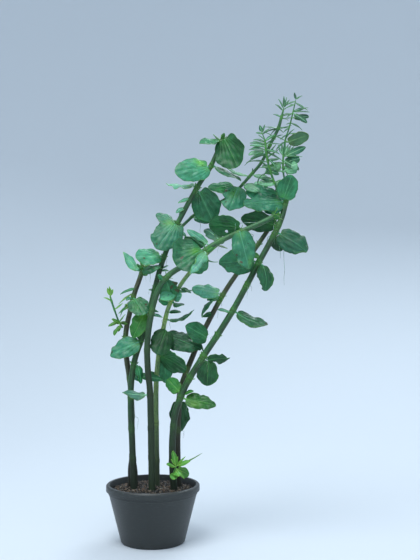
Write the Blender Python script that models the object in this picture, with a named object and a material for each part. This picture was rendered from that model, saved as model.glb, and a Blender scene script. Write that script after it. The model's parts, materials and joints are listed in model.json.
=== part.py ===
"""Potted giant red rotala: a plain plant pot, its soil, six stems, a branch, three shoots and their leaves.

Metres, +Z up. The origin is the middle of the pot's underside. The plant is seen from -Y, and it leans to +X.

The stems and leaves are laid out in millimetres as a front view shows them: across to the right, up from
the surface that the pot stands on, and deep, away from the viewer. The view is taken from VIEW_DISTANCE, so
a piece in front of or behind the pot's middle is moved along its line of sight to where it keeps its place
in the view.
"""

import math
from typing import NamedTuple

import bmesh
import bpy
from mathutils import Matrix, Vector, noise

MM = 0.001
GAP = 0.3 * MM

VIEW_DISTANCE = 700 * MM
VIEW_ACROSS = 42.75 * MM
VIEW_UP = 195.75 * MM

POT_HEIGHT = 43 * MM
POT_FOOT_RADIUS = 24 * MM
POT_BODY_RADIUS = 33.2 * MM
POT_RIM_RADIUS = 35 * MM
POT_WALL = 1.6 * MM
POT_FLOOR = 2 * MM
POT_LIP = 4.8 * MM
POT_EDGE = 0.9 * MM
POT_SIDES = 30
DRAIN_HOLES = 4
DRAIN_RADIUS = 2 * MM
DRAIN_CIRCLE = 14 * MM
DRAIN_SIDES = 10

SOIL_EDGE = 39.4 * MM
SOIL_CROWN = 41.6 * MM
SOIL_LUMP = 0.8 * MM
SOIL_LUMP_SIZE = 5 * MM
SOIL_SIDES = 26
SOIL_RINGS = (0.26, 0.52, 0.78)
POCKET_TOP = 52 * MM

FINE_STEP = 1 * MM
STEM_STEP = 12.5 * MM
STEM_SIDES = 8
TWIG_STEP = 9 * MM
TWIG_SIDES = 6

BLADE_THICKNESS = 0.7 * MM
BLADE_STATIONS = (0.13, 0.37, 0.63, 0.86)
STALK_WIDTH = 1.5 * MM
STALK_THICKNESS = 1.1 * MM
NEEDLE_STATIONS = (0.45,)
TWIG_LEAF_STATIONS = (0.25, 0.55, 0.82)
TWIG_LEAF_WIDTH = 4.5
TWIG_LEAF_FOOT = 0.4
NEEDLE_THICKNESS = 0.55 * MM

# An outline is where the leaf is widest and how full it is: a low fullness gives a blunt round end.
ROUND = (0.92, 0.48)
EGG = (0.8, 0.58)
POINTED = (0.72, 0.85)

PALE = "leaf_pale"
LIGHT = "leaf_light"
BRIGHT = "leaf_bright"
MIDDLE = "leaf_middle"
DARK = "leaf_dark"
SHADE = "leaf_shade"
OLIVE = "leaf_olive"

FINISHES = {
    "pot": ((0.035, 0.037, 0.036), 0.45),
    "soil": ((0.045, 0.036, 0.028), 0.9),
    "stem_green": ((0.10, 0.17, 0.05), 0.4),
    "stem_brown": ((0.12, 0.09, 0.055), 0.45),
    "stem_pale": ((0.24, 0.30, 0.10), 0.4),
    "shoot": ((0.10, 0.24, 0.06), 0.4),
    PALE: ((0.26, 0.42, 0.26), 0.4),
    LIGHT: ((0.13, 0.33, 0.18), 0.35),
    BRIGHT: ((0.12, 0.36, 0.06), 0.35),
    MIDDLE: ((0.07, 0.23, 0.10), 0.35),
    DARK: ((0.035, 0.14, 0.06), 0.4),
    SHADE: ((0.02, 0.075, 0.04), 0.45),
    OLIVE: ((0.10, 0.16, 0.05), 0.4),
}


class Stem(NamedTuple):
    """A stem: its finish, its radius at foot and tip, and its route as (across, up, deep), all in mm."""

    name: str
    finish: str
    foot: float
    tip: float
    route: list


class Leaf(NamedTuple):
    """A leaf: the stem and the height it grows from, its tip as (across, up, deep) and its width, in mm.

    upper is the way its upper face looks at the middle. cup is the angle in degrees through which it curls
    from margin to margin, and droop the angle through which it bends from base to tip, both away from the
    upper face. leave is the way its stalk leaves the stem, where that isn't straight towards the tip, and
    stalk is the stalk's length in mm.
    """

    name: str
    stem: str
    at: float
    tip: tuple
    width: float
    upper: tuple
    cup: float
    droop: float
    outline: tuple
    finish: str
    leave: tuple = None
    stalk: float = 1.4


class Blade(NamedTuple):
    """A small leaf that is one piece with the twig that it grows from; its values are as a Leaf's."""

    at: float
    tip: tuple
    width: float
    upper: tuple = (0, -0.6, 0.8)
    cup: float = 30
    droop: float = 25


STEMS = (
    Stem("stem_front", "stem_green", 2.7, 2.1, [
        (16, 14, -5), (15.8, 38, -5), (14.5, 62, -6), (15.2, 86, -7), (18, 100, -8), (22.8, 113, -9),
        (31, 128, -10), (40.8, 143, -10), (54.8, 164.5, -10), (65, 182, -9), (72, 195, -8), (79.5, 209, -7),
        (86, 221, -5), (91.5, 231, -3), (97, 244, 0), (100, 256, 3),
    ]),
    Stem("stem_back", "stem_brown", 2.5, 1.7, [
        (19.5, 14, 6), (19.2, 38, 6), (18.4, 76, 6), (20.4, 113, 5), (24.8, 126, 4), (30.8, 141, 4),
        (38.2, 158, 4), (45.8, 172.5, 4), (52, 184, 4), (60.5, 197, 5), (68.5, 208, 6), (76.5, 219, 7),
        (84, 230, 8), (90, 239, 9),
    ]),
    Stem("stem_left", "stem_brown", 2.5, 1.9, [
        (-14.5, 14, 5), (-15, 38, 5), (-15.8, 83, 5), (-16, 100, 5), (-16.8, 115, 5), (-18.2, 126, 5),
        (-19.8, 137, 5), (-20.8, 153, 5), (-18.4, 166, 5), (-15.2, 181, 4), (-12, 191, 4), (-8.2, 202, 3),
        (-7, 205.5, 3),
    ]),
    Stem("stem_crossing", "stem_green", 2.6, 1.9, [
        (0, 14, -9), (-0.6, 38, -9), (-1.4, 76, -9), (-2.2, 112, -10), (-3.8, 128, -10), (-4.4, 147, -11),
        (-2.6, 163, -12), (0, 176, -12), (3.4, 187.5, -12), (9, 196.5, -12), (17.4, 203.5, -12),
        (27.8, 209.5, -12), (38.4, 217.5, -12), (51, 225.5, -13), (66, 232, -13), (80, 238, -14),
        (92, 244, -14),
    ]),
    Stem("stem_tall", "stem_green", 2.6, 1.7, [
        (-13.5, 14, -4), (-14.2, 38, -4), (-15.4, 68, -4), (-16.6, 98, -4), (-16.4, 116, -4),
        (-14.8, 131, -4), (-11.8, 142.5, -4), (-7.8, 154, -4), (-4.6, 165.5, -4), (-1.8, 176, -4),
        (1, 187, -4), (3.8, 199, -4), (9, 215, -4), (18, 237.5, -4), (23.4, 247.5, -4), (33, 265, -4),
        (42.8, 280, -3), (48, 291.5, -2), (52, 301, 0),
    ]),
    Stem("stem_pale", "stem_pale", 2.3, 1.4, [
        (3.6, 14, 6), (3.2, 38, 6), (2.4, 83, 6), (2.4, 117, 6), (3.6, 134, 5), (5.4, 147, 4),
        (8.2, 161.5, 3), (11.4, 174.5, 2), (16.6, 185, 0), (23.4, 196, -1), (32.2, 206.5, -1),
        (42, 217, -1), (50, 224, -2),
    ]),
)

BRANCH = Stem("branch_top", "stem_green", 1.3, 1.4, [
    (21.2, 235.4, -3), (26.5, 240.5, 2), (31.6, 245, 7), (41, 250, 10), (51.8, 255, 10), (62.4, 262.5, 9),
    (73.4, 274.5, 8), (81, 283.5, 7), (86.4, 294, 5), (90, 301.5, 4), (93.8, 309, 2), (96, 316.5, 1),
    (98.2, 325, 0),
])

BRANCH_BLADES = (
    Blade(243, (43, 239.4, 8), 8, upper=(-0.3, 0.5, 0.8), cup=60),
    Blade(273, (55, 280, 4), 6, upper=(0.1, -0.5, 0.9), droop=-20),
    Blade(275, (90, 270.5, 2), 6.5, upper=(0.2, -0.6, 0.8)),
    Blade(268, (79, 262, 0), 9, upper=(0.2, -0.8, 0.6), cup=40),
    Blade(296, (72.5, 298.5, 2), 4, droop=40),
    Blade(309.5, (83, 310.5, 0), 3.2, upper=(0, -0.3, 0.95)),
    Blade(310, (104, 312, -4), 3.2, upper=(0, -0.3, 0.95), droop=-20),
    Blade(318, (90, 320, 0), 2.4, droop=50),
    Blade(323.5, (106, 327, -4), 3),
)

NEEDLE_TWIG = Stem("shoot_fine", "shoot", 1.2, 0.7, [
    (100.4, 258.2, 3), (99.4, 267, 4), (97.6, 278, 4), (97.8, 289.5, 4), (99.2, 300.5, 5), (102, 309.5, 6),
    (105, 321.5, 7), (107.3, 332, 7),
])

NEEDLE_FORK = Stem("shoot_fine_fork", "shoot", 1.0, 0.8, [
    (99.6, 263.5, 3), (95.6, 261.5, 0), (92.6, 265, -2), (88.8, 275, -3), (86, 285, -4), (84.8, 292.5, -5),
    (84, 300, -5), (81.2, 307.5, -5),
])

NEEDLE_BLADES = (
    Blade(268, (76, 268, -6), 9, upper=(0, -0.6, 0.8), cup=50),
    Blade(276.5, (108, 283, 2), 12, upper=(0.1, -0.8, 0.5), cup=50),
    Blade(277, (82, 281.5, 8), 8, upper=(0, -0.6, 0.8)),
    Blade(283, (110, 287, 6), 8, upper=(-0.2, -0.9, 0.2)),
    Blade(300.5, (90, 304, 1), 2, droop=30),
    Blade(302, (106, 309, 0), 2, droop=30),
    Blade(299.2, (92, 293, 6), 2, droop=40),
    Blade(320.4, (95, 319, 10), 2, droop=30),
    Blade(322, (117.5, 321.6, 4), 2, droop=20),
    Blade(317.5, (117, 318.2, 6), 6, upper=(0, -0.8, 0.5)),
    Blade(314, (112, 308, 8), 2, droop=40),
    Blade(330, (98, 325.5, 8), 2, droop=50),
    Blade(329, (116, 323, 1), 2, droop=40),
    Blade(331.5, (112, 334, 6), 2, droop=40),
    Blade(331, (106, 336.5, 0), 2, droop=0),
)

FORK_BLADES = (
    Blade(292.6, (73.5, 289, -7), 5.5, upper=(0, -0.7, 0.7)),
    Blade(296, (73, 297, -9), 5, upper=(0, -0.6, 0.8)),
    Blade(299, (75.5, 301.5, -3), 3),
    Blade(289.6, (71, 282.5, -6), 2, droop=50),
    Blade(293.8, (95, 290, -7), 3, droop=40),
    Blade(291, (97, 285, -2), 2.4, droop=40),
    Blade(287, (93, 278.5, -6), 2, droop=50),
    Blade(276, (78.5, 266.5, -6), 2.4, upper=(-0.5, -0.3, 0.8), droop=110),
    Blade(284, (70, 284, -1), 2, droop=40),
    Blade(300, (92, 305, -3), 3, droop=30),
    Blade(305, (77, 306, -3), 2.4, droop=40),
    Blade(307, (80, 312, -5), 3, droop=10),
)

LEFT_TWIG = Stem("shoot_left", "shoot", 1.0, 1.3, [
    (-22.9, 160, 4.5), (-26, 165.5, 3), (-28.6, 172.5, 2), (-30.8, 179, 2), (-32.4, 184.5, 2),
])

LEFT_BLADES = (
    Blade(184, (-34.2, 190, 1), 2.6, droop=-20),
    Blade(184, (-30, 189, 2), 2.4, droop=-10),
    Blade(163, (-31, 166.5, -1), 4, upper=(0, -0.7, 0.7)),
    Blade(162.5, (-29, 154, -1), 5, upper=(-0.6, -0.6, 0.5), cup=60, droop=60),
    Blade(164, (-20.6, 170, -2), 3.4),
    Blade(165, (-33.5, 161, 4), 4, upper=(0, -0.6, 0.8), droop=40),
    Blade(180, (-37, 182.5, 0), 2.2),
    Blade(174, (-22.8, 178.5, 0), 2.2, droop=-10),
)

FOOT_TWIG = Stem("shoot_foot", "shoot", 1.1, 0.9, [
    (15.6, 50.5, -9.2), (16.4, 53, -11.8), (17.6, 57, -13.5),
])

FOOT_BLADES = (
    Blade(56.5, (14.8, 67.5, -15), 4, upper=(0, -0.8, -0.3), droop=-30),
    Blade(55.5, (10, 57.6, -17), 4, upper=(0, -0.5, 0.8)),
    Blade(56, (28, 60, -15), 4.4, upper=(0, -0.6, 0.8), droop=20),
    Blade(53, (19.5, 48.5, -19), 5.5, upper=(0.2, -0.8, 0.6), cup=60),
    Blade(52, (15.5, 46, -17.5), 6, upper=(0, -0.9, 0.4), cup=50),
    Blade(54.5, (27, 49.5, -8.5), 8, upper=(0.2, -0.8, 0.5)),
)

LEAVES = (
    Leaf("leaf_tall_top_right", "stem_tall", 300, (63.5, 280.5, -13), 25,
         (0, 0.8, 0.6), 50, 10, ROUND, SHADE, (0.4, -0.9, 0), 3),
    Leaf("leaf_tall_top_left", "stem_tall", 299, (35, 298, -5), 15,
         (0, -0.4, 0.9), 40, 25, EGG, MIDDLE),
    Leaf("leaf_tall_round", "stem_tall", 279.5, (16.6, 276.4, -13), 20.5,
         (0.1, -0.9, 0.35), 45, 15, ROUND, LIGHT, (-0.6, -0.8, 0)),
    Leaf("leaf_tall_folded", "stem_tall", 282, (66, 270, -6), 11,
         (0.3, -0.4, 0.85), 100, 15, POINTED, MIDDLE),
    Leaf("leaf_tall_edge", "stem_tall", 265, (9.8, 268, 4), 15,
         (0, -0.25, 0.97), 25, -15, EGG, PALE),
    Leaf("leaf_tall_hanging", "stem_tall", 263.5, (44.8, 240, 3), 22.5,
         (-0.1, 0.9, 0.3), 25, 15, ROUND, DARK, (0.9, 0.45, 0)),
    Leaf("leaf_tall_big", "stem_tall", 236.5, (2.8, 219, -15), 23,
         (-0.1, -0.95, 0.35), 45, 20, ROUND, LIGHT, (-0.3, -0.95, 0)),
    Leaf("leaf_tall_behind", "stem_tall", 238, (2.4, 245.5, 1), 12,
         (0, -0.6, 0.8), 50, 20, EGG, LIGHT),
    Leaf("leaf_tall_low", "stem_tall", 213, (-13, 213, -11), 18,
         (-0.1, -0.8, 0.6), 45, 20, ROUND, LIGHT),
    Leaf("leaf_tall_bright", "stem_tall", 170, (-14.8, 152.5, -10), 13.5,
         (-0.2, -0.9, 0.3), 50, 20, EGG, BRIGHT),
    Leaf("leaf_tall_ridge", "stem_tall", 149, (-32.2, 139, -8), 15.5,
         (-0.1, -0.85, 0.5), 60, 15, EGG, LIGHT, (-0.3, -0.95, 0)),
    Leaf("leaf_tall_side", "stem_tall", 132, (-9, 118, -8), 6,
         (0.5, -0.8, 0.2), 60, 10, EGG, DARK),

    Leaf("leaf_branch_half", "branch_top", 262.5, (41.2, 265, 6), 14,
         (0, -0.72, 0.7), 50, 35, EGG, MIDDLE),
    Leaf("leaf_branch_spotted", "branch_top", 264.5, (57, 248, -5), 19,
         (0, -0.98, 0.2), 40, 20, ROUND, LIGHT, (-0.2, -1, 0), 3.5),

    Leaf("leaf_front_broad", "stem_front", 253.5, (68, 252.5, -7), 18.5,
         (0, -0.78, 0.62), 45, 20, ROUND, LIGHT),
    Leaf("leaf_front_top", "stem_front", 255, (104, 274.5, -9), 16,
         (0.2, 0.9, 0.3), 45, 15, EGG, DARK, (-0.4, -0.9, 0), 3.5),
    Leaf("leaf_front_behind", "stem_front", 236, (66, 242, 1), 17.5,
         (0, 0.8, 0.6), 45, 15, EGG, SHADE),
    Leaf("leaf_front_pleated", "stem_front", 232, (115.4, 217, -9), 19,
         (0.1, -0.9, 0.4), 40, 20, ROUND, LIGHT),
    Leaf("leaf_front_small", "stem_front", 229, (96, 217.5, 3), 12,
         (0, 0.9, 0.3), 40, 20, EGG, SHADE),
    Leaf("leaf_front_left", "stem_front", 208, (49.5, 208.5, -4), 21,
         (0.1, 0.85, 0.5), 40, 15, ROUND, DARK),
    Leaf("leaf_front_curved", "stem_front", 208.5, (84, 187.5, -12), 14.5,
         (0.55, -0.8, 0.3), 50, 60, ROUND, DARK, (1, -0.3, 0)),
    Leaf("leaf_front_long", "stem_front", 172.5, (86, 162.3, -13), 12.5,
         (0, -0.6, 0.8), 50, -40, EGG, MIDDLE),
    Leaf("leaf_front_notched", "stem_front", 138, (57.8, 137.5, -12), 11.5,
         (0, 0.8, 0.6), 40, 15, POINTED, SHADE),
    Leaf("leaf_front_round", "stem_front", 137, (40.5, 116.5, -3), 16.5,
         (0.1, 0.95, 0.2), 40, 15, ROUND, SHADE, (0.9, 0.4, 0), 4),
    Leaf("leaf_front_bright", "stem_front", 108.5, (47.2, 101.5, -13), 13,
         (0, -0.75, 0.65), 50, 25, EGG, BRIGHT, (0.9, -0.4, 0), 2),

    Leaf("leaf_cross_shade", "stem_crossing", 232, (42, 237, -9), 18.5,
         (0, 0.75, 0.65), 40, 15, ROUND, SHADE),
    Leaf("leaf_cross_hanging", "stem_crossing", 231.5, (72, 204, -20), 17.5,
         (0, -0.95, 0.2), 45, 15, EGG, LIGHT, (0, -1, 0)),
    Leaf("leaf_cross_large", "stem_crossing", 217, (17.6, 206.4, -23), 29.5,
         (-0.1, -0.9, 0.35), 50, 20, ROUND, MIDDLE, (-0.5, -0.85, 0)),
    Leaf("leaf_cross_curl", "stem_crossing", 218.5, (23.4, 227.5, -10), 10,
         (0, 0.7, 0.7), 50, 25, EGG, DARK),
    Leaf("leaf_cross_narrow", "stem_crossing", 217.5, (27.8, 200.3, -31), 8.5,
         (0.6, -0.75, 0.2), 40, 15, POINTED, PALE, (0.6, -0.8, 0), 3.5),
    Leaf("leaf_cross_small", "stem_crossing", 225, (39.4, 234, 6), 10,
         (0, -0.8, 0.6), 40, 20, ROUND, PALE, (-0.2, 1, 0.2), 3),
    Leaf("leaf_cross_low", "stem_crossing", 110, (-23, 111.5, -14), 10,
         (0, -0.55, 0.83), 30, -15, POINTED, PALE),

    Leaf("leaf_back_round", "stem_back", 184, (29.2, 189.3, 5), 13.5,
         (0, -0.8, 0.6), 45, 20, ROUND, PALE),
    Leaf("leaf_back_edge", "stem_back", 180.5, (36.8, 167.5, -4), 9,
         (-0.4, -0.2, 0.9), 50, 80, EGG, DARK, (-0.8, -0.6, 0)),
    Leaf("leaf_back_blue", "stem_back", 154.5, (24.4, 161.2, -8), 16.5,
         (0.1, -0.85, 0.5), 40, 15, EGG, DARK, (0.7, -0.75, 0), 4),
    Leaf("leaf_back_low", "stem_back", 103, (20.2, 82, 12), 15,
         (0, -0.9, 0.4), 40, 15, EGG, SHADE, (0, 1, 0)),

    Leaf("leaf_pale_crescent", "stem_pale", 166.5, (30.8, 173.5, 1), 8,
         (0, -0.3, 0.95), 40, -50, POINTED, DARK),
    Leaf("leaf_pale_damaged", "stem_pale", 182, (10, 195.8, -5), 16.5,
         (0, -0.95, -0.2), 45, -25, ROUND, DARK, (0, -1, 0.2), 2),
    Leaf("leaf_pale_under", "stem_pale", 179.5, (4.2, 180, -1), 13,
         (0, -0.5, 0.85), 50, 30, EGG, LIGHT, (-1, -0.1, 0)),
    Leaf("leaf_pale_tip", "stem_pale", 179.5, (23.4, 177.2, -6), 8,
         (0, -0.4, 0.9), 40, -20, POINTED, DARK),
    Leaf("leaf_pale_dome", "stem_pale", 158.5, (3, 140, -12), 17.5,
         (0.1, -0.95, 0.25), 35, 10, ROUND, SHADE, (0.5, -1, 0), 3.5),
    Leaf("leaf_pale_shelf", "stem_pale", 154.5, (36.4, 144, -3), 18.5,
         (0.05, -0.8, 0.6), 40, 15, EGG, DARK, (1, 0.2, 0)),
    Leaf("leaf_pale_wide", "stem_pale", 140, (25, 128.5, -4), 23,
         (0, 0.7, 0.7), 15, 10, ROUND, SHADE, (0.6, -1, 0), 2),
    Leaf("leaf_pale_hanging", "stem_pale", 139, (9.6, 118.5, 11), 12,
         (0, 0.9, 0.3), 30, 0, EGG, DARK, (0.9, 0.6, 0), 3),

    Leaf("leaf_left_round", "stem_left", 182, (-6.8, 169.5, -13.5), 15.5,
         (0.1, -0.9, 0.4), 25, 10, ROUND, MIDDLE, (0.3, -0.95, 0), 5),
    Leaf("leaf_left_pointed", "stem_left", 202, (-22.2, 216.8, 1), 8,
         (0, -0.7, 0.7), 40, -15, POINTED, PALE),
    Leaf("leaf_left_dome", "stem_left", 205, (3.8, 203.8, -15), 15,
         (0, -0.65, 0.75), 75, 50, ROUND, DARK, (0.3, -0.95, 0.2), 4),

    Leaf("leaf_fine_olive", "shoot_fine", 300, (116.8, 304.5, 0), 10.5,
         (0, 0.9, 0.4), 40, 15, ROUND, OLIVE),
)


def place(across, up, deep):
    """The point, in metres, that the front view shows at (across, up) when it is deep back, all in mm."""
    spread = (VIEW_DISTANCE + deep * MM) / VIEW_DISTANCE
    x = VIEW_ACROSS + (across * MM - VIEW_ACROSS) * spread
    z = VIEW_UP + (up * MM - VIEW_UP) * spread
    return Vector((x, deep * MM, z))


def seen_up(point):
    """The height at which the front view shows a point, in metres."""
    return VIEW_UP + (point.z - VIEW_UP) * VIEW_DISTANCE / (VIEW_DISTANCE + point.y)


def material(finish):
    """The material of one finish, made the first time that it is asked for."""
    made = bpy.data.materials.get(finish)
    if made is None:
        colour, roughness = FINISHES[finish]
        made = bpy.data.materials.new(finish)
        made.use_nodes = True
        shader = made.node_tree.nodes["Principled BSDF"]
        shader.inputs["Base Color"].default_value = (*colour, 1)
        shader.inputs["Roughness"].default_value = roughness
        shader.inputs["Metallic"].default_value = 0
    return made


def add_object(name, mesh, finish=None):
    """An object of a finished bmesh, shaded smooth; with no finish it is a tool that the build leaves out."""
    bmesh.ops.recalc_face_normals(mesh, faces=mesh.faces)
    data = bpy.data.meshes.new(name)
    mesh.to_mesh(data)
    mesh.free()
    data.shade_smooth()
    made = bpy.data.objects.new(name, data)
    bpy.context.collection.objects.link(made)
    if finish:
        data.materials.append(material(finish))
    else:
        made.hide_render = True
        made.display_type = "WIRE"
    return made


def combine(target, operation, tool):
    """Gives the target a Boolean modifier with the tool."""
    modifier = target.modifiers.new(tool.name, "BOOLEAN")
    modifier.operation = operation
    modifier.solver = "EXACT"
    modifier.object = tool
    return modifier


def turned(profile, sides):
    """A bmesh of (radius, height) points, the first and last on the Z axis, turned round that axis."""
    mesh = bmesh.new()
    corners = [mesh.verts.new((radius, 0, height)) for radius, height in profile]
    edges = [mesh.edges.new(pair) for pair in zip(corners, corners[1:])]
    bmesh.ops.spin(mesh, geom=corners + edges, axis=(0, 0, 1), cent=(0, 0, 0), angle=math.tau, steps=sides,
                   use_merge=True)
    bmesh.ops.remove_doubles(mesh, verts=mesh.verts, dist=0.01 * MM)
    return mesh


def smooth_curve(points):
    """Points about FINE_STEP apart on a smooth curve through the given ones."""
    curve = []
    ends = [2 * points[0] - points[1], *points, 2 * points[-1] - points[-2]]
    for before, start, end, after in zip(ends, ends[1:], ends[2:], ends[3:]):
        steps = max(2, round((end - start).length / FINE_STEP))
        for t in (i / steps for i in range(steps)):
            curve.append((2 * start + (end - before) * t + (2 * before - 5 * start + 4 * end - after) * t * t
                          + (3 * start - before - 3 * end + after) * t ** 3) / 2)
    curve.append(points[-1])
    return curve


def tangent(curve, i):
    """The curve's direction at its point i."""
    return (curve[min(i + 1, len(curve) - 1)] - curve[max(i - 1, 0)]).normalized()


class Axis:
    """A stem's smooth centre line, with its radius along it."""

    def __init__(self, stem):
        self.name = stem.name
        self.curve = smooth_curve([place(*point) for point in stem.route])
        self.foot = stem.foot * MM
        self.tip = stem.tip * MM

    def radius(self, i):
        """The stem's radius at point i of the centre line."""
        return self.foot + (self.tip - self.foot) * i / (len(self.curve) - 1)

    def nearest(self, up):
        """The index of the point that the front view shows at a height, in mm."""
        return min(range(len(self.curve)), key=lambda i: abs(seen_up(self.curve[i]) - up * MM))


def loft(mesh, rings, end=None):
    """Adds a closed skin over rings of equal count, which ends in the given point or in a flat face."""
    loops = [[mesh.verts.new(point) for point in ring] for ring in rings]
    sides = len(loops[0])
    for low, high in zip(loops, loops[1:]):
        for i in range(sides):
            j = (i + 1) % sides
            mesh.faces.new((low[i], low[j], high[j], high[i]))
    mesh.faces.new(reversed(loops[0]))
    if end is None:
        mesh.faces.new(loops[-1])
    else:
        point = mesh.verts.new(end)
        for i in range(sides):
            mesh.faces.new((loops[-1][i], loops[-1][(i + 1) % sides], point))


def tube_rings(axis, step, sides, grow=0.0, top=None):
    """Rings round a stem's centre line, about a step apart, grown by a distance, up to a height."""
    last = len(axis.curve) - 1
    spans = max(2, round(last * FINE_STEP / step))
    across = Vector((1, 0, 0))
    rings = []
    for k in range(spans + 1):
        i = round(k * last / spans)
        centre = axis.curve[i]
        along = tangent(axis.curve, i)
        across = (across - across.dot(along) * along).normalized()
        radius = axis.radius(i) + grow
        rings.append([centre + Matrix.Rotation(math.tau * n / sides, 3, along) @ across * radius
                      for n in range(sides)])
        if top is not None and centre.z > top:
            break
    return rings


def tube(mesh, axis, step, sides):
    """Adds a stem or twig with a short blunt tip."""
    rings = tube_rings(axis, step, sides)
    loft(mesh, rings, axis.curve[-1] + tangent(axis.curve, len(axis.curve) - 1) * axis.tip * 0.7)


def arc(start, end, upper, bend):
    """The points, directions and upward normals along an arc: a function of the share of its length."""
    chord = end - start
    along = chord.normalized()
    normal = (upper - upper.dot(along) * along).normalized()
    bend = bend if abs(bend) > 0.01 else 0.01
    radius = chord.length / (2 * math.sin(bend / 2))

    def at(share):
        angle = bend * (share - 0.5)
        turn, rise = math.cos(angle), math.sin(angle)
        point = start + radius * ((rise + math.sin(bend / 2)) * along + (turn - math.cos(bend / 2)) * normal)
        return point, turn * along - rise * normal, turn * normal + rise * along

    return at


def outline_share(outline, share):
    """How wide a leaf is at a share of its length, from 0 to 1."""
    lean, fullness = outline
    return math.sin(math.pi * share ** lean) ** fullness


def blade_ring(point, direction, normal, half_width, curl, thickness):
    """The eight corners of a blade's section: a margin, three above, the other margin and three below."""
    side = direction.cross(normal)
    curl = max(curl, 0.01)
    radius = half_width / (curl / 2)

    def corner(share, lift):
        angle = share * curl / 2
        outward = math.sin(angle) * side + math.cos(angle) * normal
        return point + (radius + lift) * outward - radius * normal

    half = thickness / 2
    return [corner(-1, 0), corner(-0.5, half), corner(0, half), corner(0.5, half),
            corner(1, 0), corner(0.5, -half), corner(0, -half), corner(-0.5, -half)]


def stalk_ring(point, direction, normal):
    """The eight corners of a leaf stalk's oval section."""
    side = direction.cross(normal)
    return [point - STALK_WIDTH / 2 * math.cos(math.tau * n / 8) * side
            + STALK_THICKNESS / 2 * math.sin(math.tau * n / 8) * normal for n in range(8)]


def add_leaf(leaf, axes):
    """Makes one leaf: a short stalk from just off the stem, and a thin cupped blade."""
    axis = axes[leaf.stem]
    i = axis.nearest(leaf.at)
    node = axis.curve[i]
    along = tangent(axis.curve, i)
    tip = place(*leaf.tip)
    away = Vector(leaf.leave) if leaf.leave else tip - node
    away = (away - away.dot(along) * along).normalized()
    foot = node + away * (axis.radius(i) + GAP)
    start = foot + away * leaf.stalk * MM
    upper = Vector(leaf.upper)
    at = arc(start, tip, upper, math.radians(leaf.droop))
    _, direction, normal = at(0)
    bisector = (away + direction).normalized()
    foot_normal = (normal - normal.dot(away) * away).normalized()
    rings = [stalk_ring(foot, away, foot_normal),
             stalk_ring(start, bisector, (normal - normal.dot(bisector) * bisector).normalized())]
    for share in BLADE_STATIONS:
        point, direction, normal = at(share)
        fullness = outline_share(leaf.outline, share)
        rings.append(blade_ring(point, direction, normal, leaf.width / 2 * MM * fullness,
                                math.radians(leaf.cup) * fullness, BLADE_THICKNESS))
    mesh = bmesh.new()
    loft(mesh, rings, tip)
    add_object(leaf.name, mesh, leaf.finish)


def add_blade(mesh, axis, blade):
    """Adds a small blade that starts inside its twig, just off the centre line."""
    i = axis.nearest(blade.at)
    tip = place(*blade.tip)
    foot = axis.curve[i] + (tip - axis.curve[i]).normalized() * axis.radius(i) * TWIG_LEAF_FOOT
    at = arc(foot, tip, Vector(blade.upper), math.radians(blade.droop))
    half = NEEDLE_THICKNESS / 2
    stations = TWIG_LEAF_STATIONS if blade.width > TWIG_LEAF_WIDTH else NEEDLE_STATIONS
    rings = []
    for share in (0, *stations):
        point, direction, normal = at(share)
        side = direction.cross(normal)
        width = blade.width / 2 * MM * outline_share(EGG, share) if share else half
        sink = width * math.tan(math.radians(blade.cup) / 4)
        rings.append([point - width * side - sink * normal, point + half * normal,
                      point + width * side - sink * normal, point - half * normal])
    loft(mesh, rings, tip)


def add_twig(twigs, blades):
    """Makes a twig, with its forks and its small blades joined to it as one piece."""
    main = Axis(twigs[0])
    mesh = bmesh.new()
    tube(mesh, main, TWIG_STEP, TWIG_SIDES)
    made = add_object(main.name, mesh, twigs[0].finish)
    for fork in twigs[1:]:
        mesh = bmesh.new()
        tube(mesh, Axis(fork), TWIG_STEP, TWIG_SIDES)
        combine(made, "UNION", add_object(fork.name, mesh))
    mesh = bmesh.new()
    for twig, group in zip(twigs, blades):
        axis = Axis(twig)
        for blade in group:
            add_blade(mesh, axis, blade)
    joined = combine(made, "UNION", add_object(main.name + "_blades", mesh))
    joined.use_self = True
    return main


def add_pot():
    """Makes the pot: a tapered cup with a rolled lip and drain holes round the middle of its floor."""
    foot, body, rim = POT_FOOT_RADIUS, POT_BODY_RADIUS, POT_RIM_RADIUS
    profile = [(0, 0), (foot - POT_EDGE, 0), (foot, POT_EDGE), (body, POT_HEIGHT - POT_LIP),
               (rim, POT_HEIGHT - POT_LIP + POT_EDGE / 2), (rim, POT_HEIGHT - POT_EDGE),
               (rim - POT_EDGE, POT_HEIGHT),
               (body - POT_WALL + POT_EDGE, POT_HEIGHT), (body - POT_WALL, POT_HEIGHT - POT_LIP),
               (foot - POT_WALL, POT_FLOOR), (0, POT_FLOOR)]
    pot = add_object("pot", turned(profile, POT_SIDES), "pot")
    mesh = bmesh.new()
    for n in range(DRAIN_HOLES):
        angle = math.tau * (n + 0.5) / DRAIN_HOLES
        centre = Vector((DRAIN_CIRCLE * math.cos(angle), DRAIN_CIRCLE * math.sin(angle), POT_FLOOR / 2))
        bmesh.ops.create_cone(mesh, cap_ends=True, segments=DRAIN_SIDES, radius1=DRAIN_RADIUS,
                              radius2=DRAIN_RADIUS, depth=POT_FLOOR * 3, matrix=Matrix.Translation(centre))
    combine(pot, "DIFFERENCE", add_object("drain_cutter", mesh))


def pot_inside(height):
    """The pot's inner radius at a height."""
    share = (height - POT_FLOOR) / (POT_HEIGHT - POT_LIP - POT_FLOOR)
    return POT_FOOT_RADIUS - POT_WALL + (POT_BODY_RADIUS - POT_FOOT_RADIUS) * share


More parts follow.
